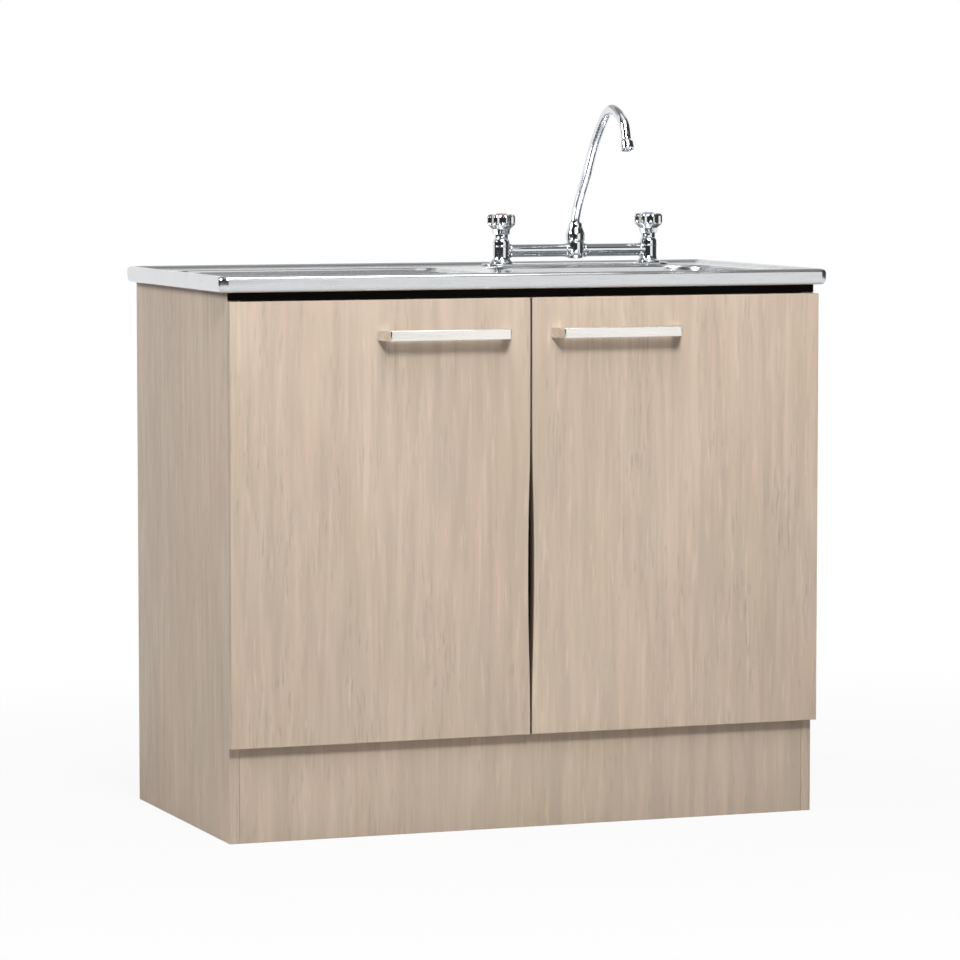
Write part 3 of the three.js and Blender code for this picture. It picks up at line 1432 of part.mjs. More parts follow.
function trapCup() {
  const top = trapFloor - SEAT_GAP;
  const bottom = top - TRAP_CUP_HEIGHT;
  return turned([
    [0, bottom],
    [TRAP_CUP_RADIUS - TRAP_CUP_HEEL * 0.75, bottom],
    [TRAP_CUP_RADIUS - TRAP_CUP_HEEL * 0.2, bottom + TRAP_CUP_HEEL / 2],
    [TRAP_CUP_RADIUS, bottom + TRAP_CUP_HEEL],
    [TRAP_CUP_RADIUS, top],
    [TRAP_CUP_RADIUS - TRAP_WALL, top],
    [TRAP_CUP_RADIUS - TRAP_WALL, bottom + TRAP_CUP_HEEL],
    [TRAP_CUP_RADIUS - TRAP_CUP_HEEL * 0.75 - TRAP_WALL, bottom + TRAP_WALL],
    [0, bottom + TRAP_WALL],
  ]);
}

const spigotMouthY = TRAP_RADIUS + TRAP_SPIGOT_REACH - SPIGOT_RADIUS;

function outletPipe() {
  const start = spigotMouthY + SEAT_GAP;
  const end = backPanelY + BACK_BOARD - bowlY;
  return sleeve(0, 0, 0, PIPE_RADIUS, PIPE_RADIUS - PIPE_WALL, end - start)
    .rotateX(-Math.PI / 2)
    .translate(0, start, outletZ);
}

function outletNut() {
  return couplingNut(0)
    .rotateX(-Math.PI / 2)
    .translate(0, spigotMouthY, outletZ);
}

function addWaste() {
  place(waste, 'strainer_body', strainerBody(), STAINLESS);
  place(waste, 'strainer_basket', strainerBasket(), STAINLESS);
  place(waste, 'strainer_gasket', strainerGasket(), RUBBER);
  place(waste, 'strainer_locknut', lockNut(), PIPE);
  place(waste, 'tailpiece', tailpiece(), PIPE);
  place(waste, 'tailpiece_nut', couplingNut(spigotEnd), PIPE);
  place(waste, 'trap_body', trapBody(), PIPE);
  place(waste, 'trap_cup', trapCup(), PIPE);
  place(waste, 'outlet_pipe', outletPipe(), PIPE);
  place(waste, 'outlet_nut', outletNut(), PIPE);
  unit.add(waste);
}

addCarcass();
addFrontRail();
addBrackets();
addSinkTop();
addDoorSide('left');
addDoorSide('right');
addTap();
addWaste();

const model = new THREE.Group();
model.add(unit);
model.updateMatrixWorld(true);

export default model;
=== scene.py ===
"""Looks for a two-door kitchen sink unit: oak-grain melamine cabinet, pressed steel top with a
drainer and a bowl, bridge mixer tap, basket strainer and bottle trap.

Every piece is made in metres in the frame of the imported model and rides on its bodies. Profiles
of turned pieces are in millimetres.
"""

import json
import math

import bmesh
import bpy
from mathutils import Matrix, Vector

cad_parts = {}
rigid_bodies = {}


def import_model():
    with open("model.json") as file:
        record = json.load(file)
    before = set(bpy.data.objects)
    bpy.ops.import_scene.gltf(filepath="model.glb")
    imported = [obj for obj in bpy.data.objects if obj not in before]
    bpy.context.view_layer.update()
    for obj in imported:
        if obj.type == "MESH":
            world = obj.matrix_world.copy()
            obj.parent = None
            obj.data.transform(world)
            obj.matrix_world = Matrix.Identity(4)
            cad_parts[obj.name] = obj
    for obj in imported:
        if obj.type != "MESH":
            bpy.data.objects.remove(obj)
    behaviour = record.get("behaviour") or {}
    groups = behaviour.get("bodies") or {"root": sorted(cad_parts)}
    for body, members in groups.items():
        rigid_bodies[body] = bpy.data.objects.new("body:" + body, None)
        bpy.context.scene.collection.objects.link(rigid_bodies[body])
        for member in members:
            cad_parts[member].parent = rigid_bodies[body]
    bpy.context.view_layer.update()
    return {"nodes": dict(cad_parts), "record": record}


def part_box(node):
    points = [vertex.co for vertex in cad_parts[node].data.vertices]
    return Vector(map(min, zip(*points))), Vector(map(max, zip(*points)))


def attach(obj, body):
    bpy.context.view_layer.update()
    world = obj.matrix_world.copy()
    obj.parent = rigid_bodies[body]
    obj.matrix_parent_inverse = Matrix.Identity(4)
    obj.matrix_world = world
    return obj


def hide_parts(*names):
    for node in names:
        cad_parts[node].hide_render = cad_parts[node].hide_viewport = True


bl_info = {
    "name": "Kitchen sink unit",
    "version": (1, 0, 0),
    "blender": (4, 5, 0),
    "location": "View3D > Sidebar > Sink unit",
    "description": "Builds the finished pieces of a two-door kitchen sink unit on its frame",
    "category": "Object",
}

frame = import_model()

MM = 0.001
SIDES = ("left", "right")
LEVELS = ("lower", "upper")
TAPS = ("hot", "cold")
TOUCHING = 1e-6                  # points closer than this are one

# Turns a piece made upright so that its top points along an axis.
LIE = {
    "X": Matrix.Rotation(math.pi / 2, 4, "Y"),
    "Y": Matrix.Rotation(-math.pi / 2, 4, "X"),
    "Z": Matrix.Identity(4),
}


# ------------------------------------------------------------------ frame helpers

def body_of(node):
    """The body that carries a node of the frame."""
    for body, members in frame["record"]["behaviour"]["bodies"].items():
        if node in members:
            return body
    raise RuntimeError("no body carries " + node)


def middle(node):
    low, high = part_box(node)
    return (low + high) / 2


def put_on_body(piece, nodes):
    """The piece stands for these nodes and rides where they ride."""
    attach(piece, body_of(nodes[0]))
    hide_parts(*nodes)


# ------------------------------------------------------------------ mesh helpers

def smooth_up_to(mesh, degrees):
    mesh.shade_smooth()
    mesh.set_sharp_from_angle(angle=math.radians(degrees))


def to_object(bm, name, materials=(), smooth=30.0):
    """A finished object at the origin from a bmesh, smooth up to the given angle in degrees."""
    mesh = bpy.data.meshes.new(name)
    bm.to_mesh(mesh)
    bm.free()
    for material in materials:
        mesh.materials.append(material)
    smooth_up_to(mesh, smooth)
    piece = bpy.data.objects.new(name, mesh)
    bpy.context.scene.collection.objects.link(piece)
    return piece


def to_bmesh(piece):
    """Takes an object apart into a bmesh."""
    bm = bmesh.new()
    bm.from_mesh(piece.data)
    bpy.data.objects.remove(piece)
    return bm


def evaluated_mesh(piece):
    graph = bpy.context.evaluated_depsgraph_get()
    return bpy.data.meshes.new_from_object(piece.evaluated_get(graph))


def modified(piece, kind, smooth=30.0, **settings):
    """The piece with a modifier's result as its mesh."""
    modifier = piece.modifiers.new(kind.title(), kind)
    for name, value in settings.items():
        setattr(modifier, name, value)
    mesh = evaluated_mesh(piece)
    piece.modifiers.clear()
    piece.data = mesh
    smooth_up_to(mesh, smooth)
    return piece


def subtract(piece, cutter_bm):
    """Cuts a bmesh out of a piece."""
    cutter = to_object(cutter_bm, "cutter")
    modified(piece, "BOOLEAN", operation="DIFFERENCE", solver="EXACT", object=cutter)
    bpy.data.objects.remove(cutter)
    return piece


def absorb(bm, *others):
    """Adds all of the other bmeshes and frees them."""
    for other in others:
        mesh = bpy.data.meshes.new("part")
        other.to_mesh(mesh)
        other.free()
        bm.from_mesh(mesh)
        bpy.data.meshes.remove(mesh)
    return bm


def placed(bm, place, axis="Z"):
    """Lays an upright piece along an axis and moves it to its place."""
    bm.transform(Matrix.Translation(place) @ LIE[axis])
    return bm


def mirror_x(bm):
    bm.transform(Matrix.Diagonal((-1.0, 1.0, 1.0, 1.0)))
    bmesh.ops.reverse_faces(bm, faces=bm.faces)
    return bm


def circle(radius, sides, start=0.0):
    """Even points on a circle about the origin."""
    angles = (start + 2 * math.pi * side / sides for side in range(sides))
    return [(radius * math.cos(angle), radius * math.sin(angle)) for angle in angles]


def skin(bm, lower, upper):
    """Faces between two loops of vertices, where a loop of one vertex is a pole."""
    for i in range(max(len(lower), len(upper))):
        corners = dict.fromkeys((
            lower[i % len(lower)], lower[(i + 1) % len(lower)],
            upper[(i + 1) % len(upper)], upper[i % len(upper)]))
        if len(corners) > 2:
            bm.faces.new(tuple(corners))


def loft(rings, closed=True, caps=False):
    """Faces between rings of points; closed joins the last ring to the first."""
    bm = bmesh.new()
    loops = [[bm.verts.new(point) for point in ring] for ring in rings]
    for lower, upper in zip(loops, loops[1:]):
        skin(bm, lower, upper)
    if closed:
        skin(bm, loops[-1], loops[0])
    if caps:
        bm.faces.new(list(reversed(loops[0])))
        bm.faces.new(loops[-1])
    bmesh.ops.recalc_face_normals(bm, faces=bm.faces)
    return bm


def rounded(points, radius, steps=4, closed=False):
    """A profile with its corners turned into arcs, each as large as its sides allow."""
    straight = math.radians(172)
    result = []
    for i, point in enumerate(points):
        here = Vector(point)
        before = Vector(points[i - 1]) - here
        after = Vector(points[(i + 1) % len(points)]) - here
        is_end = not closed and i in (0, len(points) - 1)
        if is_end or min(before.length, after.length) < 1e-9 or before.angle(after) > straight:
            result.append(tuple(here))
            continue
        reach = min(
            radius / math.tan(before.angle(after) / 2), before.length * 0.48, after.length * 0.48)
        start = here + before.normalized() * reach
        end = here + after.normalized() * reach
        for step in range(steps + 1):
            t = step / steps
            result.append(tuple(start * (1 - t) ** 2 + here * (2 * t * (1 - t)) + end * t ** 2))
    return result


def turned(profile, sides=64, place=(0.0, 0.0, 0.0), soft=0.0, steps=4):
    """A closed solid of revolution about an upright axis; the profile is [radius, height] in mm.

    A profile that starts and ends on the axis is a plug, and any other is a ring."""
    on_axis = profile[0][0] == 0 and profile[-1][0] == 0
    points = rounded(profile, soft, steps, closed=not on_axis) if soft else profile
    rings = []
    for radius, height in points:
        around = circle(radius * MM, sides) if radius > TOUCHING else [(0.0, 0.0)]
        rings.append([(place[0] + x, place[1] + y, place[2] + height * MM) for x, y in around])
    return loft(rings, closed=not on_axis)


def bevelled(bm, edges, width, segments):
    if width:
        bmesh.ops.bevel(
            bm, geom=edges, offset=width, segments=segments, affect="EDGES", profile=0.5,
            material=-1, clamp_overlap=True)
    return bm


def slab(low, high, edge=0.0, segments=2):
    """A box between two corners, its edges rounded by edge."""
    bm = bmesh.new()
    size = Vector(high) - Vector(low)
    centre = (Vector(high) + Vector(low)) / 2
    bmesh.ops.create_cube(bm, size=1.0)
    bm.transform(Matrix.Translation(centre) @ Matrix.Diagonal((*size, 1.0)))
    return bevelled(bm, list(bm.edges), edge, segments)


def prism(outline, depth, axis, edge=0.0, segments=2):
    """An outline of (u, v) pushed from depth[0] to depth[1] along Y or Z, with soft long edges."""
    def ring(w):
        return [Vector((u, w, v) if axis == "Y" else (u, v, w)) for u, v in outline]

    bm = loft([ring(depth[0]), ring(depth[1])], closed=False, caps=True)
    place = "XYZ".index(axis)
    rims = [e for e in bm.edges if abs(e.verts[0].co[place] - e.verts[1].co[place]) < TOUCHING]
    return bevelled(bm, rims, edge, segments)


def rounded_rectangle(centre, width, depth, radius, z, corner_steps=12, side_steps=10):
    """One level ring with round corners and evenly split sides, anticlockwise from above."""
    def on_arc(corner, step):
        sign_x, sign_y = ((1, 1), (-1, 1), (-1, -1), (1, -1))[corner % 4]
        angle = (corner + step / corner_steps) * math.pi / 2
        return Vector((
            centre[0] + sign_x * (width / 2 - radius) + radius * math.cos(angle),
            centre[1] + sign_y * (depth / 2 - radius) + radius * math.sin(angle), z))

    ring = []
    for corner in range(4):
        ring += [on_arc(corner, step) for step in range(corner_steps + 1)]
        end, target = ring[-1], on_arc(corner + 1, 0)
        ring += [end.lerp(target, step / side_steps) for step in range(1, side_steps)]
    return ring


def softened_copy(node, name, material, edge, sharp=32.0):
    """A merged copy of a node of the frame with its sharp edges rounded."""
    bm = bmesh.new()
    bm.from_mesh(frame["nodes"][node].data)
    bmesh.ops.remove_doubles(bm, verts=bm.verts, dist=TOUCHING)
    bmesh.ops.dissolve_limit(
        bm, angle_limit=math.radians(0.5), verts=bm.verts, edges=bm.edges)
    for face in bm.faces:
        face.material_index = 0
    return modified(
        to_object(bm, name, (material,), sharp), "BEVEL", sharp, width=edge, segments=2,
        limit_method="ANGLE", angle_limit=math.radians(sharp), use_clamp_overlap=True,
        harden_normals=False)


# ------------------------------------------------------------------ node trees

class Nodes:
    """Makes and links the nodes of a tree."""

    def __init__(self, tree):
        self.tree = tree

    def make(self, kind, inputs=None, **settings):
        """A new node's first output; each input takes a value or another node's output."""
        node = self.tree.nodes.new(kind)
        for name, value in settings.items():
            setattr(node, name, value)
        for key, value in (inputs or {}).items():
            if isinstance(value, bpy.types.NodeSocket):
                self.tree.links.new(value, node.inputs[key])
            else:
                node.inputs[key].default_value = value
        return node.outputs[0]

    def maths(self, operation, *values):
        return self.make("ShaderNodeMath", dict(enumerate(values)), operation=operation)

    def stretch(self, value, low, high, to_low, to_high):
        """The value's range from low to high drawn out to another one, and held there."""
        return self.make("ShaderNodeMapRange", {
            "Value": value, "From Min": low, "From Max": high, "To Min": to_low,
            "To Max": to_high}, clamp=True)


class Recipe(Nodes):
    """A geometry node tree whose named inputs are set by their identifiers."""

    def __init__(self, name, **inputs):
        """Each input is its kind of socket, or that kind and a default."""
        super().__init__(bpy.data.node_groups.new(name, "GeometryNodeTree"))
        self.ids = {}
        for label, value in {"Geometry": "Geometry", **inputs, "Material": "Material"}.items():
            kind, *default = value if isinstance(value, tuple) else (value,)
            socket = self.tree.interface.new_socket(
                label, in_out="INPUT", socket_type="NodeSocket" + kind)
            if default:
                socket.default_value = default[0]
            self.ids[label] = socket.identifier
        self.tree.interface.new_socket(
            "Geometry", in_out="OUTPUT", socket_type="NodeSocketGeometry")
        self.given = self.tree.nodes.new("NodeGroupInput").outputs

    def close(self, geometry):
        """Ends the tree in Realize Instances and Set Material."""
        real = self.make("GeometryNodeRealizeInstances", {"Geometry": geometry})
        painted = self.make("GeometryNodeSetMaterial", {
            "Geometry": real, "Material": self.given["Material"]})
        end = self.tree.nodes.new("NodeGroupOutput")
        self.tree.links.new(painted, end.inputs["Geometry"])
        return self

    def run(self, bm, **values):
        """The tree's result on a bmesh, as a new bmesh."""
        piece = to_object(bm, self.tree.name + ".start")
        modifier = piece.modifiers.new("Recipe", "NODES")
        modifier.node_group = self.tree
        for label, value in values.items():
            modifier[self.ids[label]] = value
        mesh = evaluated_mesh(piece)
        result = bmesh.new()
        result.from_mesh(mesh)
        bpy.data.objects.remove(piece)
        bpy.data.meshes.remove(mesh)
        return result


def round_recipe():
    """Copies of a piece, spaced evenly round the upright axis."""
    recipe = Recipe("Copies round an axis", Count=("Int", 8))
    count = recipe.given["Count"]
    points = recipe.make("GeometryNodePoints", {"Count": count})
    share = recipe.maths("DIVIDE", recipe.make("GeometryNodeInputIndex"), count)
    euler = recipe.make("ShaderNodeCombineXYZ", {"Z": recipe.maths("MULTIPLY", share, 2 * math.pi)})
    return recipe.close(recipe.make("GeometryNodeInstanceOnPoints", {
        "Points": points, "Instance": recipe.given["Geometry"],
        "Rotation": recipe.make("FunctionNodeEulerToRotation", {0: euler})}))


def row_recipe():
    """Copies of a piece in a straight row."""
    recipe = Recipe("Copies in a row", Count=("Int", 2), Start="Vector", Step="Vector")
    line = recipe.make("GeometryNodeMeshLine", {
        "Count": recipe.given["Count"], "Start Location": recipe.given["Start"],
        "Offset": recipe.given["Step"]}, mode="OFFSET")
    return recipe.close(recipe.make("GeometryNodeInstanceOnPoints", {
        "Points": line, "Instance": recipe.given["Geometry"]}))


def rib_recipe():
    """Presses a row of round-ended ribs up from a level grid."""
    recipe = Recipe(
        "Pressed ribs", Count=("Int", 9), Centre="Vector", Span=("Float", 0.3),
        Length=("Float", 0.3), Width=("Float", 0.01), Height=("Float", 0.003))
    given, maths = recipe.given, recipe.maths
    offset = recipe.make("ShaderNodeVectorMath", {
        0: recipe.make("GeometryNodeInputPosition"), 1: given["Centre"]}, operation="SUBTRACT")
    parts = recipe.make("ShaderNodeSeparateXYZ", {0: offset}).node.outputs
    last = maths("SUBTRACT", given["Count"], 1.0)
    pitch = maths("DIVIDE", given["Span"], last)
    counted = maths("ADD", maths("DIVIDE", parts["Y"], pitch), maths("MULTIPLY", last, 0.5))
    nearest = maths("MINIMUM", maths("MAXIMUM", maths("ROUND", counted), 0.0), last)
    across = maths("MULTIPLY", maths("SUBTRACT", counted, nearest), pitch)
    straight = maths("MULTIPLY", maths("SUBTRACT", given["Length"], given["Width"]), 0.5)
    past_end = maths("SUBTRACT", maths("ABSOLUTE", parts["X"]), straight)
    beyond = maths("MAXIMUM", past_end, 0.0)
    reach = maths("SQRT", maths(
        "ADD", maths("MULTIPLY", across, across), maths("MULTIPLY", beyond, beyond)))
    share = maths("DIVIDE", reach, maths("MULTIPLY", given["Width"], 0.5))
    wave = maths("COSINE", maths("MULTIPLY", maths("MINIMUM", share, 1.0), math.pi))
    swell = maths("MULTIPLY", maths("ADD", wave, 1.0), 0.5)
    lift = recipe.make("ShaderNodeCombineXYZ", {"Z": maths("MULTIPLY", swell, given["Height"])})
    return recipe.close(recipe.make("GeometryNodeSetPosition", {
        "Geometry": given["Geometry"], "Offset": lift}))


def perforation_recipe():
    """Cuts copies of a round punch, spaced round the upright axis, out of a shell."""
    recipe = Recipe(
        "Perforations", Count=("Int", 8), Reach=("Float", 0.02), Radius=("Float", 0.002),
        Depth=("Float", 0.01), Floor="Vector")
    given = recipe.given
    punch = recipe.make("GeometryNodeMeshCylinder", {
        "Vertices": 20, "Radius": given["Radius"], "Depth": given["Depth"]})
    ring = recipe.make("GeometryNodeMeshCircle", {
        "Vertices": given["Count"], "Radius": given["Reach"]})
    points = recipe.make("GeometryNodeTransform", {"Geometry": ring, "Translation": given["Floor"]})
    copies = recipe.make("GeometryNodeInstanceOnPoints", {"Points": points, "Instance": punch})
    punches = recipe.make("GeometryNodeRealizeInstances", {0: copies})
    return recipe.close(recipe.make("GeometryNodeMeshBoolean", {
        "Mesh 1": given["Geometry"], "Mesh 2": punches}, operation="DIFFERENCE"))


# ------------------------------------------------------------------ materials

class Finish(Nodes):
    """A node material built round one Principled shader."""

    def __init__(self, name, colour, roughness, metallic=0.0):
        self.material = bpy.data.materials.new(name)
        self.material.use_nodes = True
        super().__init__(self.material.node_tree)
        self.shader = self.tree.nodes["Principled BSDF"]
        self.shader.inputs["Base Color"].default_value = (*colour, 1.0)
        self.shader.inputs["Roughness"].default_value = roughness
        self.shader.inputs["Metallic"].default_value = metallic
        self.coordinates = self.tree.nodes.new("ShaderNodeTexCoord").outputs["Object"]

    def space(self, scale=(1.0, 1.0, 1.0), shift=(0.0, 0.0, 0.0)):
        return self.make("ShaderNodeMapping", {
            "Vector": self.coordinates, "Scale": scale, "Location": shift})

    def noise(self, scale, detail=2.0, roughness=0.5, distortion=0.0, space=None):
        return self.make("ShaderNodeTexNoise", {
            "Vector": space or self.space(), "Scale": scale, "Detail": detail,
            "Roughness": roughness, "Distortion": distortion})

    def mix(self, share, first, second):
        def given(value):
            return value if isinstance(value, bpy.types.NodeSocket) else (*value, 1.0)

        mixed = self.make(
            "ShaderNodeMix", {0: share, 6: given(first), 7: given(second)}, data_type="RGBA")
        return mixed.node.outputs[2]

    def lay(self, colour, source, low, high, strength, over):
        """A colour laid over another as the source rises from low to high."""
        return self.mix(self.stretch(source, low, high, 0.0, strength), colour, over)

    def bump(self, height, strength, distance):
        return self.make("ShaderNodeBump", {
            "Height": height, "Strength": strength, "Distance": distance})

    def paint(self, colour, roughness, normal):
        sockets = {"Base Color": colour, "Roughness": roughness, "Normal": normal}
        for name, socket in sockets.items():
            self.tree.links.new(socket, self.shader.inputs[name])
        return self.material

    def show(self, shader):
        """Another shader than the Principled one as the surface."""
        output = self.tree.nodes["Material Output"]
        self.tree.links.new(shader, output.inputs["Surface"])
        return self.material


def from_screen(red, green, blue):
    """A colour given as 0 to 255 on the screen, in linear light."""
    def channel(value):
        share = value / 255
        return share / 12.92 if share <= 0.04045 else ((share + 0.055) / 1.055) ** 2.4
    return (channel(red), channel(green), channel(blue))


def shaded(colour, factor):
    return tuple(channel * factor for channel in colour)


def drawn_out(along, share):
    """A scale that draws a texture out along one axis to 1 / share of its width."""
    return tuple(share if axis == along else 1.0 for axis in "XYZ")


def oak_finish(name, settings, seed, tone=1.0, grain="Z"):
    """Pale oak decor on melamine: soft streaks, a cathedral figure and pores in loose groups."""
    base = shaded(settings.oak_colour, tone)
    finish = Finish(name, base, settings.oak_roughness)
    shift = (seed * 0.37, seed * 0.53, seed * 0.71)
    lay = finish.lay

    def grained(share, scale, detail=2.0, roughness=0.5, distortion=0.0, away=0.0):
        """Noise drawn out along the grain; share is its width over its length."""
        moved = tuple(value + away for value in shift)
        return finish.noise(
            scale, detail, roughness, distortion, finish.space(drawn_out(grain, share), moved))

    bands = grained(0.10, 11.0, 3.0, 0.55, 0.4)
    streaks = grained(0.07, 62.0, 2.0, 0.5, 0.5)
    threads = grained(0.03, 190.0, 2.0, 0.5, 0.3)
    pores = grained(0.10, 260.0, 1.0, 0.4)
    long_pores = grained(0.045, 170.0, away=3.1)
    groups = grained(0.30, 15.0, 2.0, 0.6, 0.6, 1.7)
    flecks = grained(0.09, 150.0, away=5.3)
    lines = grained(0.012, 900.0)
    drift = grained(0.7, 6.0)
    moss = grained(0.5, 7.0, 2.0, 0.5, 0.3, 9.1)
    figure = finish.make("ShaderNodeTexWave", {
        "Vector": finish.space(drawn_out(grain, 0.16), shift), "Scale": 7.5, "Distortion": 9.0,
        "Detail": 2.0, "Detail Scale": 1.6}, wave_type="BANDS", bands_direction="X")

    rosy = (base[0] * 1.03, base[1] * 0.965, base[2] * 0.955)
    olive = (base[0] * 0.955, base[1] * 0.985, base[2] * 0.91)
    colour = lay(shaded(base, 0.94), bands, 0.35, 0.65, 1.0, shaded(base, 1.06))
    colour = lay(colour, drift, 0.46, 0.66, 0.75, rosy)
    colour = lay(colour, moss, 0.50, 0.70, 0.70, olive)
    colour = lay(colour, streaks, 0.50, 0.72, 0.85, shaded(base, 0.84))
    colour = lay(colour, streaks, 0.46, 0.28, 0.70, shaded(base, 1.13))
    colour = lay(colour, threads, 0.54, 0.72, 0.50, shaded(base, 0.84))
    colour = lay(
        colour, figure.node.outputs["Fac"], 0.55, 1.0, settings.oak_figure, shaded(base, 0.80))
    colour = lay(colour, flecks, 0.60, 0.74, 0.60, shaded(base, 1.18))
    dashes = finish.maths(
        "MAXIMUM", finish.stretch(pores, 0.60, 0.72, 0.0, settings.oak_pores),
        finish.stretch(long_pores, 0.63, 0.74, 0.0, settings.oak_pores))
    gathered = finish.maths("MULTIPLY", dashes, finish.stretch(groups, 0.46, 0.64, 0.10, 1.0))
    colour = finish.mix(gathered, colour, shaded(base, 0.60))
    colour = lay(colour, lines, 0.3, 0.7, 0.22, shaded(base, 0.88))
    relief = finish.mix(0.5, finish.stretch(pores, 0.5, 0.72, 1.0, 0.0), lines)
    roughness = finish.stretch(
        grained(0.2, 120.0), 0.3, 0.7,
        settings.oak_roughness - 0.06, settings.oak_roughness + 0.08)
    return finish.paint(colour, roughness, finish.bump(relief, 0.35, 0.00022))


def clouded_finish(name, base, roughness, cloud, tint, fine, rough, relief, metallic=0.0):
    """A finish of one substance: a cloud tints it, and a fine noise, or without one the cloud
    again, gives its roughness and relief."""
    finish = Finish(name, base, roughness, metallic)
    low, high, strength, first, second = tint
    clouds = finish.noise(*cloud)
    tone = finish.lay(first, clouds, low, high, strength, second)
    grain = finish.noise(*fine) if fine else clouds
    return finish.paint(tone, finish.stretch(grain, *rough), finish.bump(grain, *relief))


def hardboard_finish():
    """The brown, felted face of a hardboard back."""
    base = from_screen(158, 124, 92)
    finish = Finish("hardboard", base, 0.82)
    fibres = finish.noise(420.0, 4.0, 0.7, 1.5)
    blotch = finish.noise(14.0, 3.0, 0.6)
    tone = finish.lay(shaded(base, 0.86), blotch, 0.35, 0.65, 1.0, shaded(base, 1.1))
    tone = finish.lay(tone, fibres, 0.45, 0.75, 0.6, shaded(base, 0.6))
    return finish.paint(
        tone, finish.stretch(fibres, 0.3, 0.7, 0.7, 0.92), finish.bump(fibres, 0.5, 0.0004))


def black_finish():
    """Satin black paint with a fine pebble and long scuffs."""
    base = from_screen(9, 6, 4)
    finish = Finish("black_rail", base, 0.7)
    finish.shader.inputs["Specular IOR Level"].default_value = 0.1
    pebble = finish.noise(900.0)
    scuff = finish.noise(160.0, 3.0, 0.6, space=finish.space(drawn_out("X", 0.08)))
    tone = finish.lay(base, scuff, 0.6, 0.8, 0.35, from_screen(26, 22, 18))
    return finish.paint(
        tone, finish.stretch(scuff, 0.35, 0.7, 0.55, 0.72), finish.bump(pebble, 0.3, 0.00012))


def steel_finish(name, colour, roughness, brushed="X", line=0.00004):
    """Stainless steel: fine brush lines one way, with a faint cloud of handling marks."""
    finish = Finish(name, colour, roughness, 1.0)
    lines = finish.noise(1400.0, 2.0, 0.6, space=finish.space(drawn_out(brushed, 0.02)))
    wide = finish.noise(130.0, space=finish.space(drawn_out(brushed, 0.08)))
    cloud = finish.noise(9.0, 4.0, 0.6, 0.6)
    spots = finish.noise(75.0, 3.0, 0.6)
    tone = finish.lay(shaded(colour, 0.93), lines, 0.3, 0.7, 1.0, shaded(colour, 1.04))
    tone = finish.lay(tone, spots, 0.62, 0.75, 0.25, shaded(colour, 0.86))
    uneven = finish.maths(
        "ADD", finish.stretch(wide, 0.3, 0.7, -0.05, 0.05),
        finish.stretch(cloud, 0.35, 0.7, roughness - 0.04, roughness + 0.07))
    return finish.paint(tone, uneven, finish.bump(lines, 0.25, line))


def chrome_finish(base):
    """Bright plating with the faint haze of dried water."""
    finish = Finish("chrome", base, 0.07, 1.0)
    haze = finish.noise(38.0, 4.0, 0.62, 0.8)
    drops = finish.noise(320.0)
    marks = finish.maths(
        "ADD", finish.stretch(haze, 0.45, 0.75, 0.045, 0.12),
        finish.stretch(drops, 0.62, 0.72, 0.0, 0.08))
    tone = finish.lay(base, haze, 0.5, 0.75, 0.3, shaded(base, 0.9))
    return finish.paint(tone, marks, finish.bump(haze, 0.04, 0.0003))


def plastic_finish(name, colour, roughness, grain):
    """Moulded plastic with a faint spark texture and flow shading."""
    material = clouded_finish(
        name, colour, roughness, (24.0, 3.0, 0.55, 0.8),
        (0.35, 0.7, 1.0, shaded(colour, 0.93), shaded(colour, 1.03)), (grain, 2.0, 0.6),
        (0.3, 0.7, roughness - 0.07, roughness + 0.1), (0.25, 0.00015))
    material.node_tree.nodes["Principled BSDF"].inputs["IOR"].default_value = 1.49
    return material


MATERIALS = {}

# Each oak board's seed, tone against the middle colour and direction of grain.
OAK = {
    "left_side": (1.0, 0.97, "Z"),
    "right_side": (2.0, 0.97, "Z"),
    "left_door": (3.0, 1.0, "Z"),
    "right_door": (4.0, 1.0, "Z"),
    # The plinth's tone of 0.90 is painted shade, darker as if under the doors' overhang.
    "plinth": (5.0, 0.90, "Z"),
    "inner_boards": (6.0, 1.0, "X"),
    "edge_band": (7.0, 0.90, "Z"),
    # The meeting edges' tone of 0.45 is painted shade, for the dark gap between the doors.
    "meeting_edge": (8.0, 0.45, "Z"),
}


def make_materials(scene):
    """All finishes of the unit, by name."""
    sink = scene.sink_unit_sink
    for name, look in OAK.items():
        MATERIALS[name] = oak_finish("oak_" + name, scene.sink_unit_cabinet, *look)
    white, rubber, brass = from_screen(222, 219, 211), from_screen(34, 34, 35), (0.60, 0.43, 0.19)
    MATERIALS.update({
        "hardboard": hardboard_finish(),
        "lacquer": clouded_finish(
            "white_lacquer", white, 0.5, (6.0,),
            (0.3, 0.7, 1.0, shaded(white, 0.96), shaded(white, 1.02)), (260.0, 3.0, 0.6),
            (0.3, 0.7, 0.42, 0.6), (0.25, 0.0002)),
        "black": black_finish(),
        "steel": steel_finish("stainless", tuple(sink.steel_colour), sink.steel_roughness),
        "satin": steel_finish("satin_bar", from_screen(244, 241, 236), 0.24, line=0.00005),
        "nickel": steel_finish("nickel", from_screen(196, 195, 190), 0.26, "Z"),
        "chrome": chrome_finish(tuple(sink.chrome_colour)),
        "brass": clouded_finish(
            "brass", brass, 0.32, (60.0, 4.0, 0.65, 0.7),
            (0.45, 0.7, 0.8, brass, (0.36, 0.22, 0.09)), None, (0.4, 0.7, 0.25, 0.5),
            (0.1, 0.0003), 1.0),
        "rubber": clouded_finish(
            "rubber", rubber, 0.8, (45.0, 3.0, 0.6),
            (0.5, 0.75, 0.5, rubber, from_screen(62, 61, 60)), (700.0, 3.0, 0.6),
            (0.3, 0.7, 0.7, 0.9), (0.4, 0.0002)),
        "white_plastic": plastic_finish("white_plastic", from_screen(228, 228, 223), 0.38, 520.0),
        "hot": plastic_finish("hot_cap", from_screen(176, 40, 34), 0.28, 300.0),
        "cold": plastic_finish("cold_cap", from_screen(40, 78, 158), 0.28, 300.0),
    })


# ------------------------------------------------------------------ settings

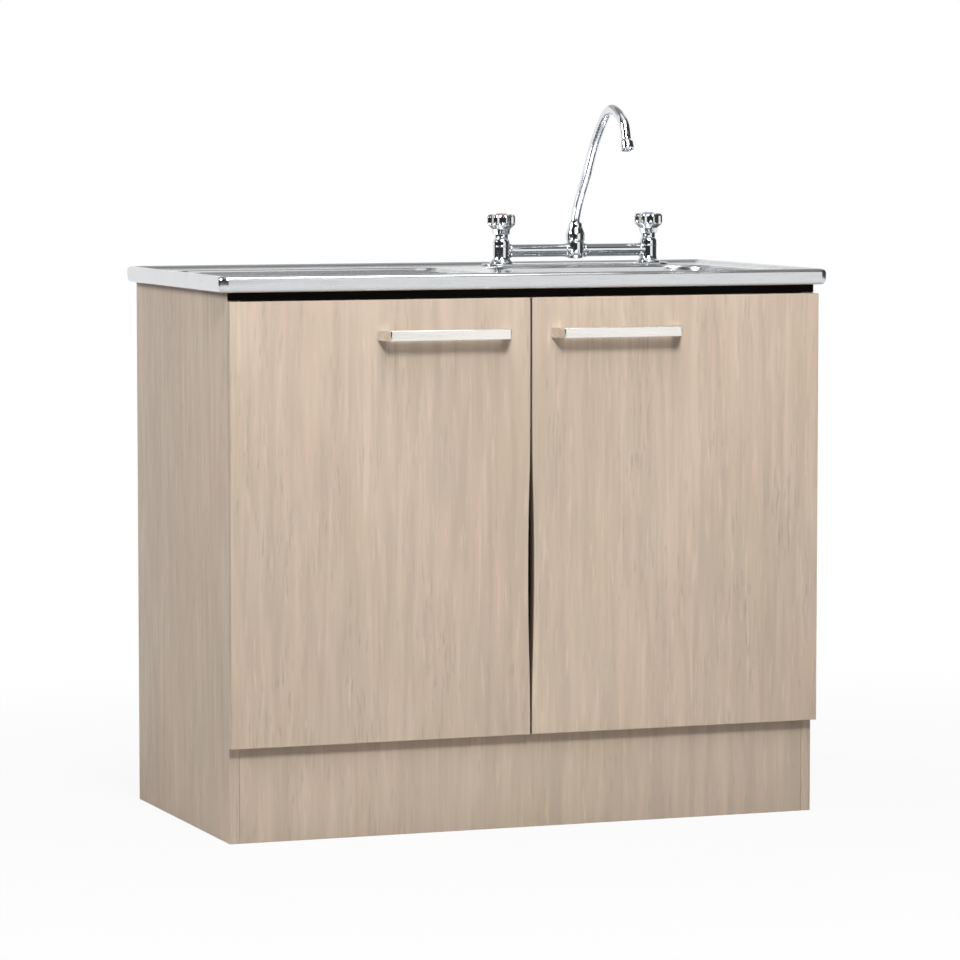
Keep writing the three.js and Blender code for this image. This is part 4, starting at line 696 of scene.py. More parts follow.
def ranged(name, description, default, low, high):
    """What every setting states of itself."""
    return {
        "name": name, "description": description, "default": default, "min": low, "max": high}


class CabinetSettings(bpy.types.PropertyGroup):
    oak_colour: bpy.props.FloatVectorProperty(subtype="COLOR", size=3, **ranged(
        "Oak colour", "Middle tone of the oak decor", from_screen(209, 190, 171), 0.0, 1.0))
    oak_roughness: bpy.props.FloatProperty(**ranged(
        "Oak roughness", "Roughness of the melamine", 0.52, 0.1, 0.9))
    oak_figure: bpy.props.FloatProperty(**ranged(
        "Figure", "Strength of the cathedral figure", 0.32, 0.0, 1.0))
    oak_pores: bpy.props.FloatProperty(**ranged(
        "Pores", "Strength of the dashed pores", 0.55, 0.0, 1.0))
    board_edge: bpy.props.FloatProperty(unit="LENGTH", **ranged(
        "Board edge", "Rounding of the boards' edges", 0.0007, 0.0, 0.003))
    hatch_width: bpy.props.FloatProperty(unit="LENGTH", **ranged(
        "Hatch width", "Width of the pipe hatch in the back", 0.26, 0.05, 0.5))
    hatch_height: bpy.props.FloatProperty(unit="LENGTH", **ranged(
        "Hatch height", "Height of the pipe hatch in the back", 0.20, 0.05, 0.5))


class DoorSettings(bpy.types.PropertyGroup):
    relief: bpy.props.FloatProperty(unit="LENGTH", **ranged(
        "Relief", "How far each meeting edge is hollowed at its widest", 0.0033, 0.0, 0.01))
    relief_top: bpy.props.FloatProperty(unit="LENGTH", **ranged(
        "Relief top", "Height where the hollow starts", 0.650, 0.3, 0.8))
    relief_widest: bpy.props.FloatProperty(unit="LENGTH", **ranged(
        "Relief widest", "Height where the hollow is widest", 0.405, 0.2, 0.6))
    edge: bpy.props.FloatProperty(unit="LENGTH", **ranged(
        "Door edge", "Rounding of the door's edges", 0.0009, 0.0, 0.003))
    cup_radius: bpy.props.FloatProperty(unit="LENGTH", **ranged(
        "Cup radius", "Radius of the hole for each hinge cup", 0.0178, 0.01, 0.03))
    handle_bar: bpy.props.FloatProperty(unit="LENGTH", **ranged(
        "Bar", "Thickness of the handle's bar", 0.007, 0.003, 0.015))
    handle_face: bpy.props.FloatProperty(unit="LENGTH", **ranged(
        "Face length", "Length of the handle's flat front", 0.194, 0.05, 0.4))
    handle_foot: bpy.props.FloatProperty(unit="LENGTH", **ranged(
        "Foot", "Length of each foot of the handle", 0.016, 0.005, 0.04))


class SinkSettings(bpy.types.PropertyGroup):
    steel_colour: bpy.props.FloatVectorProperty(subtype="COLOR", size=3, **ranged(
        "Steel colour", "Colour of the stainless steel", from_screen(214, 216, 218), 0.0, 1.0))
    steel_roughness: bpy.props.FloatProperty(**ranged(
        "Steel roughness", "Roughness of the steel", 0.20, 0.05, 0.8))
    chrome_colour: bpy.props.FloatVectorProperty(subtype="COLOR", size=3, **ranged(
        "Chrome colour", "Colour of the plating", from_screen(226, 229, 232), 0.0, 1.0))
    sheet: bpy.props.FloatProperty(unit="LENGTH", **ranged(
        "Sheet", "Thickness of the steel sheet", 0.0009, 0.0004, 0.002))
    bowl_width: bpy.props.FloatProperty(unit="LENGTH", **ranged(
        "Bowl width", "Left to right", 0.400, 0.2, 0.6))
    bowl_depth: bpy.props.FloatProperty(unit="LENGTH", **ranged(
        "Bowl depth", "Front to back", 0.352, 0.2, 0.45))
    bowl_corner: bpy.props.FloatProperty(unit="LENGTH", **ranged(
        "Bowl corner", "Radius of the bowl's corners", 0.062, 0.01, 0.15))
    drainer_width: bpy.props.FloatProperty(unit="LENGTH", **ranged(
        "Drainer width", "Left to right", 0.440, 0.2, 0.6))
    drainer_from_end: bpy.props.FloatProperty(unit="LENGTH", **ranged(
        "Drainer margin", "Left end of the top to the drainer", 0.046, 0.02, 0.2))
    rib_count: bpy.props.IntProperty(**ranged(
        "Ribs", "Number of ribs on the drainer", 9, 3, 20))
    rib_height: bpy.props.FloatProperty(unit="LENGTH", **ranged(
        "Rib height", "Height of the drainer's ribs", 0.003, 0.001, 0.006))


class TapSettings(bpy.types.PropertyGroup):
    inlet_spacing: bpy.props.FloatProperty(unit="LENGTH", **ranged(
        "Inlet spacing", "Between the two inlets", 0.260, 0.1, 0.3))
    lobes: bpy.props.IntProperty(**ranged("Lobes", "Lobes round each handle", 8, 4, 12))
    lobe: bpy.props.FloatProperty(unit="LENGTH", **ranged(
        "Lobe height", "Height of each lobe", 0.0016, 0.0, 0.004))
    spout_radius: bpy.props.FloatProperty(unit="LENGTH", **ranged(
        "Spout radius", "Outer radius of the spout's tube", 0.008, 0.005, 0.012))


class WasteSettings(bpy.types.PropertyGroup):
    basket_holes: bpy.props.IntProperty(**ranged(
        "Basket holes", "Holes in the widest ring of the basket's floor", 16, 4, 30))
    grips: bpy.props.IntProperty(**ranged("Nut grips", "Grips round each plastic nut", 8, 4, 24))


class StageSettings(bpy.types.PropertyGroup):
    key_power: bpy.props.FloatProperty(unit="POWER", **ranged(
        "Key light", "Power of the large soft light", 100.0, 0.0, 2000.0))
    fill_power: bpy.props.FloatProperty(unit="POWER", **ranged(
        "Top light", "Power of the overhead light", 44.0, 0.0, 2000.0))
    side_power: bpy.props.FloatProperty(unit="POWER", **ranged(
        "Side light", "Power of the light on the left", 69.0, 0.0, 2000.0))
    ambient: bpy.props.FloatProperty(**ranged(
        "Ambient", "Strength of the light from all round", 0.14, 0.0, 2.0))
    lens: bpy.props.FloatProperty(**ranged(
        "Lens", "Focal length on a 36 mm sensor, in mm", 168.56, 20.0, 400.0))


GROUPS = {
    "sink_unit_cabinet": CabinetSettings,
    "sink_unit_doors": DoorSettings,
    "sink_unit_sink": SinkSettings,
    "sink_unit_tap": TapSettings,
    "sink_unit_waste": WasteSettings,
    "sink_unit_stage": StageSettings,
}


# ------------------------------------------------------------------ carcass

class SINKUNIT_OT_carcass(bpy.types.Operator):
    """Makes the boards of the cabinet, its back, the black front rail and the brackets"""
    bl_idname = "sink_unit.carcass"
    bl_label = "Make carcass"

    def execute(self, context):
        settings = context.scene.sink_unit_cabinet
        boards = {
            "side_panel_left": "left_side", "side_panel_right": "right_side",
            "plinth_board": "plinth", "bottom_panel": "inner_boards",
            "rear_rail": "inner_boards"}
        for node, finish in boards.items():
            self.make_board(node, MATERIALS[finish], settings.board_edge)
        self.make_back(settings)
        self.make_rail()
        for side in SIDES:
            node = "top_bracket_" + side
            piece = softened_copy(node, node + "_moulding", MATERIALS["white_plastic"], 0.0006)
            put_on_body(piece, [node])
        return {"FINISHED"}

    def make_board(self, node, material, edge):
        """A melamine board in the place of a node, with its rounded edges in edge band."""
        bm = slab(*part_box(node), edge, 3)
        largest = max(face.calc_area() for face in bm.faces)
        for face in bm.faces:
            face.material_index = 0 if face.calc_area() > largest * 0.5 else 1
        piece = to_object(bm, node + "_board", (material, MATERIALS["edge_band"]))
        put_on_body(piece, [node])

    def make_back(self, settings):
        """The thin back with its pipe hatch: white inside, brown outside."""
        low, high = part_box("back_panel")
        waste_x = middle("strainer_body").x
        chamfer = 0.0006
        hatch_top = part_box("sink_top")[0].z + 0.001
        half = settings.hatch_width / 2
        panel = (low.x, low.z, high.x, high.z)
        hatch = (waste_x - half, hatch_top - settings.hatch_height, waste_x + half, hatch_top)

        def ring(corners, grow, y):
            left, bottom, right, top = corners
            return [Vector((x, y, z)) for x, z in (
                (left - grow, bottom - grow), (right + grow, bottom - grow),
                (right + grow, top + grow), (left - grow, top + grow))]

        bm = loft([
            ring(panel, -chamfer, low.y), ring(panel, 0, low.y + chamfer),
            ring(panel, 0, high.y - chamfer), ring(panel, -chamfer, high.y),
            ring(hatch, chamfer, high.y), ring(hatch, 0, high.y - chamfer),
            ring(hatch, 0, low.y + chamfer), ring(hatch, chamfer, low.y)])
        for face in bm.faces:
            face.material_index = 0 if face.normal.y < -0.5 else 1
        piece = to_object(bm, "back_panel_board", (MATERIALS["lacquer"], MATERIALS["hardboard"]))
        put_on_body(piece, ["back_panel"])

    def make_rail(self):
        """The black rail: a face under the steel apron and a leg under the deck."""
        low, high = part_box("front_rail")
        plate = 0.002
        inset = 0.0163
        edge = 0.0005
        bm = absorb(
            slab(low, (high.x, low.y + plate, high.z), edge),
            slab((low.x + inset, low.y + plate * 0.8, high.z - plate),
                 (high.x - inset, high.y, high.z), edge))
        piece = to_object(bm, "front_rail_profile", (MATERIALS["black"],))
        put_on_body(piece, ["front_rail"])


# ------------------------------------------------------------------ doors

def bezier(a, b, c, d, steps):
    """Points on a cubic curve, without its first."""
    result = []
    for step in range(1, steps + 1):
        t = step / steps
        s = 1 - t
        result.append(tuple(
            Vector(a) * s ** 3 + Vector(b) * 3 * s * s * t + Vector(c) * 3 * s * t * t
            + Vector(d) * t ** 3))
    return result


def door_outline(settings, low, high):
    """The left door's outline in X and Z: the meeting edge hollows and comes back at the corner."""
    meeting = high.x
    hollow = meeting - settings.relief
    top, widest = settings.relief_top, settings.relief_widest
    lower = (widest - low.z) / 2
    upper = (top - widest) / 2
    return [
        (low.x, low.z), (meeting, low.z),
        *bezier((meeting, low.z), (meeting, low.z + lower),
                (hollow, widest - lower), (hollow, widest), 20),
        *bezier((hollow, widest), (hollow, widest + upper),
                (meeting, top - upper), (meeting, top), 20),
        (meeting, high.z), (low.x, high.z)]


def cylinder_y(x, y, z, radius, length, sides=64):
    """A cylinder along Y from y."""
    reach, end = radius / MM, length / MM
    return placed(turned([(0, 0), (reach, 0), (reach, end), (0, end)], sides), (x, y, z), "Y")


class SINKUNIT_OT_doors(bpy.types.Operator):
    """Makes both doors with their hollowed meeting edges, cup holes and screw holes"""
    bl_idname = "sink_unit.doors"
    bl_label = "Make doors"

    def execute(self, context):
        for side in SIDES:
            self.make_door(context.scene.sink_unit_doors, side)
        return {"FINISHED"}

    def make_door(self, settings, side):
        """The right door is the left one mirrored."""
        low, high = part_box("door_left")
        play = 0.002                     # how far the cutters stand out of the board
        cup_play = 0.0003                # below the hinge's cup
        screw_hole = 0.0023
        bm = prism(door_outline(settings, low, high), (low.y, high.y), "Y", settings.edge, 3)
        cutter = bmesh.new()
        for level in LEVELS:
            cup = middle("hinge_cup_left_" + level)
            depth = high.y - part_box("hinge_cup_left_" + level)[0].y + cup_play
            absorb(cutter, cylinder_y(
                cup.x, high.y - depth, cup.z, settings.cup_radius, depth + play))
        for number in ("1", "2"):
            screw = middle("handle_screw_left_" + number)
            absorb(cutter, cylinder_y(
                screw.x, low.y - play, screw.z, screw_hole, high.y - low.y + 2 * play, 24))
        if side == "right":
            mirror_x(bm)
            mirror_x(cutter)
        inward = 1 if side == "left" else -1
        for face in bm.faces:
            face.material_index = 0 if abs(face.normal.y) > 0.95 else 1
            # Faces of the meeting edge take the darker oak, which is painted shade for the gap
            # between the doors.
            if face.normal.x * inward > 0.7:
                face.material_index = 2
        piece = to_object(bm, "door_" + side + "_board", (
            MATERIALS[side + "_door"], MATERIALS["edge_band"], MATERIALS["meeting_edge"]))
        put_on_body(subtract(piece, cutter), ["door_" + side])


class SINKUNIT_OT_handles(bpy.types.Operator):
    """Makes the bar handles and the screws that hold them"""
    bl_idname = "sink_unit.handles"
    bl_label = "Make handles"

    def execute(self, context):
        screws = row_recipe()
        for side in SIDES:
            self.make_handle(context.scene.sink_unit_doors, side)
            self.make_screws(screws, side)
        return {"FINISHED"}

    def make_handle(self, settings, side):
        """A flat bar seen from above: a straight face whose ends slant back to two feet."""
        node = "handle_" + side
        low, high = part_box(node)
        centre = (low.x + high.x) / 2
        end = (high.x - low.x) / 2
        face = settings.handle_face / 2
        bar = settings.handle_bar
        foot = settings.handle_foot
        outline = [
            (-end, high.y), (-face, low.y), (face, low.y), (end, high.y), (end - foot, high.y),
            (face - bar, low.y + bar), (-face + bar, low.y + bar), (-end + foot, high.y)]
        soft = [(centre + x, y) for x, y in rounded(outline, 0.0022, 5, closed=True)]
        bm = prism(soft, (low.z, high.z), "Z", 0.0014, 4)
        put_on_body(to_object(bm, node + "_bar", (MATERIALS["satin"],), 28), [node])

    def make_screws(self, recipe, side):
        """Pan head screws from the back of the door into the feet of the handle."""
        nodes = ["handle_screw_" + side + "_" + number for number in ("1", "2")]
        low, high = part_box(nodes[0])
        first, second = middle(nodes[0]), middle(nodes[1])
        end = (high.y - low.y) / MM
        bm = turned([
            (0, 0), (1.2, 0), (2.0, 1.0), (2.0, end - 2.4), (4.2, end - 2.4), (4.1, end - 1.3),
            (3.0, end - 0.3), (1.6, end), (0, end)], 32, soft=0.25)
        slot_floor, over = end * MM - 0.00132, end * MM + 0.001
        long, thin = 0.0021, 0.00045
        cross = absorb(
            slab((-long, -thin, slot_floor), (long, thin, over)),
            slab((-thin, -long, slot_floor), (thin, long, over)))
        screw = placed(to_bmesh(subtract(to_object(bm, "screw"), cross)), (0, 0, 0), "Y")
        result = recipe.run(
            screw, Count=2, Start=(first.x, low.y, first.z), Step=(second.x - first.x, 0.0, 0.0),
            Material=MATERIALS["nickel"])
        piece = to_object(result, "handle_screws_" + side, (MATERIALS["nickel"],))
        put_on_body(piece, nodes)


class SINKUNIT_OT_hinges(bpy.types.Operator):
    """Makes the concealed hinges: cup, link, arm and mounting plate"""
    bl_idname = "sink_unit.hinges"
    bl_label = "Make hinges"

    def execute(self, context):
        for side in SIDES:
            for level in LEVELS:
                tail = side + "_" + level
                self.make_cup(side, tail)
                for part, edge in (("link", 0.0004), ("arm", 0.0005), ("plate", 0.0005)):
                    node = "hinge_" + part + "_" + tail
                    piece = softened_copy(node, node + "_steel", MATERIALS["nickel"], edge)
                    put_on_body(piece, [node])
        return {"FINISHED"}

    def make_cup(self, side, tail):
        """A pressed cup with a flange, two screws and the pin of the link, made for the left."""
        node = "hinge_cup_" + tail
        low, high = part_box(node)
        z = (low.z + high.z) / 2
        radius, flange = 17.5, 1.2
        x = (low.x if side == "left" else -high.x) + (radius + flange) * MM
        depth = (high.y - low.y) / MM
        bm = placed(turned([
            (0, 0), (radius - 2, 0), (radius, 2), (radius, depth - 0.7),
            (radius + flange, depth - 0.7), (radius + flange, depth), (radius - 1.4, depth),
            (radius - 1.4, 2.4), (radius - 3.2, 1.3), (0, 1.3)], 64, soft=0.35),
            (x, low.y, z), "Y")
        # An ear above and one below the cup, so that nothing crosses its mouth.
        ear_width, ear_start, ear_end, screw_away = 0.018, 0.0145, 0.026, 0.0215
        for end in (-1, 1):
            ear = rounded([
                (x, z + end * ear_start), (x + ear_width, z + end * ear_start),
                (x + ear_width, z + end * ear_end), (x, z + end * ear_end)], 0.004, 5, True)
            head = turned([(0, 0), (3.4, 0), (3.4, 0.7), (2.2, 1.1), (0, 1.1)], 28, soft=0.2)
            absorb(
                bm, prism(ear, (high.y - 0.0008, high.y), "Y", 0.0002, 1),
                placed(head, (x + ear_width / 2, high.y - 0.0011, z + end * screw_away), "Y"))
        # The pin stands inside the panel's outer face and ahead of its front edge.
        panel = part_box("side_panel_left")[0]
        pin_inside, pin_ahead = 0.0095, 0.005
        pin = [(0, -13.4), (1.4, -13.4), (1.4, 13.4), (0, 13.4)]
        absorb(bm, turned(pin, 24, (panel.x + pin_inside, panel.y - pin_ahead, z)))
        if side == "right":
            mirror_x(bm)
        put_on_body(to_object(bm, node + "_steel", (MATERIALS["nickel"],), 35), [node])


# ------------------------------------------------------------------ steel top

def smooth_path(points, pieces):
    """A soft curve through a profile's points."""
    result = [tuple(points[0])]
    last = len(points) - 1
    for i in range(last):
        p0, p1, p2, p3 = (Vector(points[min(max(i + k, 0), last)]) for k in (-1, 0, 1, 2))
        for step in range(1, pieces + 1):
            t = step / pieces
            result.append(tuple(0.5 * (
                2 * p1 + (p2 - p0) * t + (2 * p0 - 5 * p1 + 4 * p2 - p3) * t * t
                + (3 * p1 - p0 - 3 * p2 + p3) * t ** 3)))
    return result


class SINKUNIT_OT_sink_top(bpy.types.Operator):
    """Makes the pressed steel top: rolled rim, deck, ribbed drainer and bowl in one sheet"""
    bl_idname = "sink_unit.sink_top"
    bl_label = "Make steel top"

    CREST = 0.005                        # the rim's crest above the deck

    def execute(self, context):
        settings = context.scene.sink_unit_sink
        self.low, self.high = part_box("sink_top")
        self.centre = (self.low + self.high) / 2
        self.waste = middle("strainer_body")
        self.deck = self.high.z - self.CREST
        bm = bmesh.new()
        for rings in (self.rim_rings(), self.bowl_rings(settings)):
            loops = [[bm.verts.new(point) for point in ring] for ring in rings]
            for lower, upper in zip(loops, loops[1:]):
                skin(bm, lower, upper)
        absorb(bm, self.drainer_grid(settings))
        bmesh.ops.remove_doubles(bm, verts=bm.verts, dist=TOUCHING)
        self.fill_deck(bm, context.scene.sink_unit_tap.inlet_spacing)
        bmesh.ops.recalc_face_normals(bm, faces=bm.faces)
        if sum(face.normal.z * face.calc_area() for face in bm.faces) < 0:
            bmesh.ops.reverse_faces(bm, faces=bm.faces)
        piece = to_object(bm, "sink_top_pressing", (MATERIALS["steel"],), 40)
        modified(
            piece, "SOLIDIFY", 40, thickness=settings.sheet, offset=-1.0, use_even_offset=False,
            use_rim=True)
        put_on_body(piece, ["sink_top"])
        return {"FINISHED"}

    def rim_rings(self):
        """From the lower edge of the apron over the rolled crest to the deck."""
        section = smooth_path([
            (0.0046, -0.0246), (0.0022, -0.0228), (0.0009, -0.0190), (0.0002, -0.0140),
            (0, -0.0080), (0.0004, -0.0048), (0.0019, -0.0020), (0.0044, -0.0004), (0.0070, 0.0),
            (0.0095, -0.0004), (0.0140, -0.0022), (0.0175, -0.0041), (0.0200, -0.0049),
            (0.0225, -0.0050), (0.0250, -0.0050)], 4)
        size = self.high - self.low
        corner, least_corner = 0.014, 0.003
        rings = []
        for inset, below in section:
            inset = max(inset, 0.0)
            height = min(self.high.z + below, self.high.z)
            if abs(below + self.CREST) < 0.0001:
                height = self.deck
            rings.append(rounded_rectangle(
                self.centre, size.x - 2 * inset, size.y - 2 * inset,
                max(corner - inset / 2, least_corner), height))
        return rings

    def bowl_rings(self, settings):
        """From a level strip round the bowl, over its lip, down the wall and in to the waste."""
        floor = self.low.z + 0.005
        fall = floor - self.deck
        draft, lip, sweep, hole, hole_drop = 0.013, 0.005, 0.026, 0.045, 0.004
        lip_steps, steps = 6, 8
        section = [(-0.004, 0.0), (-0.002, 0.0)]
        for step in range(lip_steps + 1):
            angle = step / lip_steps * math.radians(85)
            section.append((lip * math.sin(angle) - 0.0005, -lip * (1 - math.cos(angle))))
        start, end = Vector(section[-1]), Vector((draft, fall + sweep))
        section += [tuple(start.lerp(end, step / steps)) for step in range(1, steps)]
        for step in range(steps + 1):
            angle = step / steps * math.pi / 2
            section.append((
                draft + sweep * (1 - math.cos(angle)), fall + sweep * (1 - math.sin(angle))))
        rings = [
            rounded_rectangle(
                self.waste, settings.bowl_width - 2 * inset, settings.bowl_depth - 2 * inset,
                settings.bowl_corner, self.deck + below)
            for inset, below in section]
        # The floor falls to the waste, whose circle takes over the ring's points evenly.
        last = rings[-1]
        start_angle = math.atan2(last[0].y - self.waste.y, last[0].x - self.waste.x)
        rim = []
        for point, even in zip(last, circle(1.0, len(last), start_angle)):
            flat = (point.xy - self.waste.xy).normalized()
            away = (flat * 0.65 + Vector(even) * 0.35).normalized() * hole
            rim.append(Vector((*(self.waste.xy + away), floor - hole_drop)))
        for step in range(1, steps + 1):
            share = step / steps
            rings.append([
                Vector((*a.xy.lerp(b.xy, share), a.z + (b.z - a.z) * share ** 1.15))
                for a, b in zip(last, rim)])
        return rings

    def drainer_grid(self, settings):
        """A grid over the drainer: a shallow tray with a soft edge, and ribs pressed up from it."""
        margin, sink, corner, slope = 0.006, 0.005, 0.030, 0.0065
        fine, coarse, edge = 0.0014, 0.010, 0.048
        rib_margin, rib_width = 0.035, 0.0105
        width, depth = settings.drainer_width, settings.bowl_depth
        centre = Vector((self.low.x + settings.drainer_from_end + width / 2, self.waste.y, 0))

        def stations(span, step):
            """Places across the tray: fine steps over both edges and wider ones between."""
            half = span / 2 + margin
            inner_half = half - edge
            count = max(int(round(edge / fine)), 1)
            inner_count = max(int(round(2 * inner_half / step)), 1)
            outer = [half - edge * i / count for i in range(count)]
            inner = [-inner_half + 2 * inner_half * i / inner_count for i in range(inner_count + 1)]
            return [-x for x in outer] + inner + list(reversed(outer))

        bm = bmesh.new()
        rows = []
        for y in stations(depth, fine):
            row = []
            for x in stations(width, coarse):
                dx = abs(x) - (width / 2 - corner)
                dy = abs(y) - (depth / 2 - corner)
                away = math.hypot(max(dx, 0), max(dy, 0)) + min(max(dx, dy), 0) - corner
                share = min(max(-away / slope, 0.0), 1.0)
                fall = share * share * (3 - 2 * share)
                row.append(bm.verts.new((centre.x + x, centre.y + y, self.deck - sink * fall)))
            rows.append(row)
        for lower, upper in zip(rows, rows[1:]):
            for i in range(len(lower) - 1):
                bm.faces.new((lower[i], lower[i + 1], upper[i + 1], upper[i]))
        return rib_recipe().run(
            bm, Count=settings.rib_count, Centre=tuple(centre), Span=depth - 2 * corner,
            Length=width - 2 * rib_margin, Width=rib_width, Height=settings.rib_height,
            Material=MATERIALS["steel"])

    def fill_deck(self, bm, spacing):
        """Flat faces between the rim, the bowl, the drainer and the two tap holes."""
        tap = middle("spout_nut")
        hole = 0.0108
        for sign in (-1, 1):
            loop = [
                bm.verts.new((tap.x + sign * spacing / 2 + x, tap.y + y, self.deck))
                for x, y in circle(hole, 32)]
            for a, b in zip(loop, loop[1:] + loop[:1]):
                bm.edges.new((a, b))
        edges = [
            e for e in bm.edges
            if len(e.link_faces) < 2 and all(abs(v.co.z - self.deck) < 1e-5 for v in e.verts)]
        bmesh.ops.triangle_fill(bm, edges=edges, use_beauty=True, normal=(0, 0, 1))


# ------------------------------------------------------------------ tap

def centripetal(points, samples):
    """Evenly counted samples of a centripetal Catmull-Rom curve through the points."""
    points = [Vector(point) for point in points]
    points = [points[0] * 2 - points[1], *points, points[-1] * 2 - points[-2]]
    spans = len(points) - 3
    result = []
    for sample in range(samples + 1):
        place = sample / samples * spans
        i = min(int(place), spans - 1)
        t = place - i
        p0, p1, p2, p3 = points[i:i + 4]
        d0, d1, d2 = (
            max((b - a).length ** 0.5, 1e-6) for a, b in ((p0, p1), (p1, p2), (p2, p3)))
        t1 = ((p1 - p0) / d0 - (p2 - p0) / (d0 + d1) + (p2 - p1) / d1) * d1
        t2 = ((p2 - p1) / d1 - (p3 - p1) / (d1 + d2) + (p3 - p2) / d2) * d1
        result.append(
            p1 + t1 * t + (-3 * p1 + 3 * p2 - 2 * t1 - t2) * t ** 2
            + (2 * p1 - 2 * p2 + t1 + t2) * t ** 3)
    return result


def tube(path, radius, bore, sides=32):
    """A pipe of even wall along a path that lies in one upright plane of constant X."""
    across = Vector((1.0, 0.0, 0.0))
    outer, inner = [], []
    for i, point in enumerate(path):
        ahead = (path[min(i + 1, len(path) - 1)] - path[max(i - 1, 0)]).normalized()
        up = across.cross(ahead)
        for rings, size in ((outer, radius), (inner, bore)):
            rings.append([point + across * x + up * y for x, y in circle(size, sides)])
    return loft(outer + list(reversed(inner)))


class SINKUNIT_OT_tap(bpy.types.Operator):
    """Makes the bridge tap: plate, body, nut, spout, headworks, handles, caps, shanks and nuts"""
    bl_idname = "sink_unit.tap"
    bl_label = "Make tap"

    def execute(self, context):
        self.settings = context.scene.sink_unit_tap
        plate_rise = 0.0003              # from the deck, where heights start, to the plate
        self.origin = middle("spout_nut")
        self.origin.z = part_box("tap_deck_plate")[0].z - plate_rise
        self.make_plate()
        self.make_body()
        self.make_spout()
        for side in TAPS:
            place = self.at(side)
            self.make_headwork(side, place)
            self.make_handle(side, place)
            self.make_cap(side, place)
            self.make_shank(side, place)
            self.make_backnut(side, place)
        return {"FINISHED"}

    def at(self, side):
        """The place of the hot or the cold inlet on the deck."""
        sign = -1 if side == "hot" else 1
        return self.origin + Vector((sign * self.settings.inlet_spacing / 2, 0, 0))

    def finish(self, bm, name, node, smooth=32, material="chrome", slot="chrome"):
        put_on_body(to_object(bm, name, (MATERIALS[material],), smooth), [node])

    def make_plate(self):
        low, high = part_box("tap_deck_plate")
        centre = (low + high) / 2
        size = high - low
        section = rounded([(1.2, 0), (0, 0), (0, 2.0), (1.1, 3.0), (26.0, 3.0)], 0.9, 5)
        rings = []
        for inset, height in section[:-1]:
            away = inset * MM
            rings.append(rounded_rectangle(
                centre, size.x - 2 * away, size.y - 2 * away, size.y / 2 - away - 1e-5,
                low.z + height * MM, 16, 8))
        bm = loft(rings, closed=False, caps=True)
        self.finish(bm, "tap_deck_plate_plating", "tap_deck_plate", 25)

    def make_body(self):
        """Two posts with flared feet, the bridge between them, the hub and the spout's nut."""
        foot, bridge_height = 3.6, 0.024
        axis = self.origin + Vector((0, 0, bridge_height))
        half = self.settings.inlet_spacing / MM / 2
        hub = [(0, 10.5), (9, 10.5), (12, 11.2), (15, 15.5), (15, 37.6), (14, 39), (0, 39)]
        bm = turned(hub, 72, self.origin, 1.2, 5)
        for side in TAPS:
            post = turned([
                (0, foot), (20, foot), (20, foot + 2.4), (17.2, foot + 4.2), (15.0, foot + 6.6),
                (14, foot + 9.5), (14, 39.5), (12.5, 43), (0, 43)], 72, self.at(side), 1.0, 5)
            ring = [(12, 30.5), (14.7, 30.5), (14.7, 33.0), (12, 33.0)]
            absorb(bm, post, turned(ring, 72, self.at(side), 0.8))
        bar = [(0, -half), (10.5, -half), (10.5, half), (0, half)]
        absorb(bm, placed(turned(bar), axis, "X"))
        by_hub, by_post = 16.5, half - 15.5
        for away in (by_hub, by_post):
            for sign in (-1, 1):
                collar = turned([(9, -1.6), (11.6, -1.6), (11.6, 1.6), (9, 1.6)], soft=0.9)
                absorb(bm, placed(collar, axis + Vector((sign * away * MM, 0, 0)), "X"))
        self.finish(bm, "tap_body_casting", "tap_body", 30)
        nut = turned([
            (8.4, 39.3), (15.2, 39.3), (16, 40.3), (16, 51.5), (15.1, 54.0), (13.6, 57.6),
            (12.2, 61.0), (11.2, 66.5), (10.6, 69.3), (8.4, 69.3)], 72, self.origin, 1.2)
        self.finish(nut, "spout_nut_turning", "spout_nut")

    def make_spout(self):
        """The swan neck, straight as far as past its nut, and the aerator at its end."""
        foot, nut_top, wall = 27.3, 69.3, 0.0016
        bend, bend_height = 49, 148
        route = [
            (0, foot), (0, (foot + nut_top) / 2), (0, nut_top), (0, nut_top + 4),
            (bend * 0.24, nut_top + (bend_height - nut_top) * 0.36), (bend, bend_height),
            (94.2, 210), (152, 254), (207, 234), (219, 206)]
        path = centripetal(
            [self.origin + Vector((0, -forward * MM, z * MM)) for forward, z in route], 126)
        radius = self.settings.spout_radius
        self.finish(tube(path, radius, radius - wall), "spout_tube", "spout", 50)
        bm = turned([
            (0, 0.3), (8.0, 0.3), (9.2, 2.4), (10.5, 4.8), (10.5, 15.8), (9.6, 17), (8.2, 17),
            (8.0, 13), (0, 13)], soft=0.5)
        # A ring of fine knurls grips the lower part of the aerator.
        knurl = slab((0.0100, -0.00035, 0.0095), (0.0105, 0.00035, 0.0145), 0.0002, 1)
        screen = turned([(0, 13.4), (7.9, 13.4), (7.9, 13.0), (0, 13.0)], 48)
        absorb(bm, round_recipe().run(knurl, Count=36, Material=MATERIALS["chrome"]), screen)
        ahead = (path[-1] - path[-2]).normalized()
        turn = Vector((0, 0, 1)).rotation_difference(ahead).to_matrix().to_4x4()
        bm.transform(Matrix.Translation(path[-1]) @ turn)
        self.finish(bm, "spout_aerator_turning", "spout_aerator")

    def make_headwork(self, side, place):
        head = turned([
            (0, 43.3), (11.5, 43.3), (11.5, 54.3), (9.5, 56.3), (5, 56.3), (5, 72.3), (0, 72.3)],
            48, place, 0.8)
        self.finish(head, "tap_headwork_" + side + "_turning", "tap_headwork_" + side)

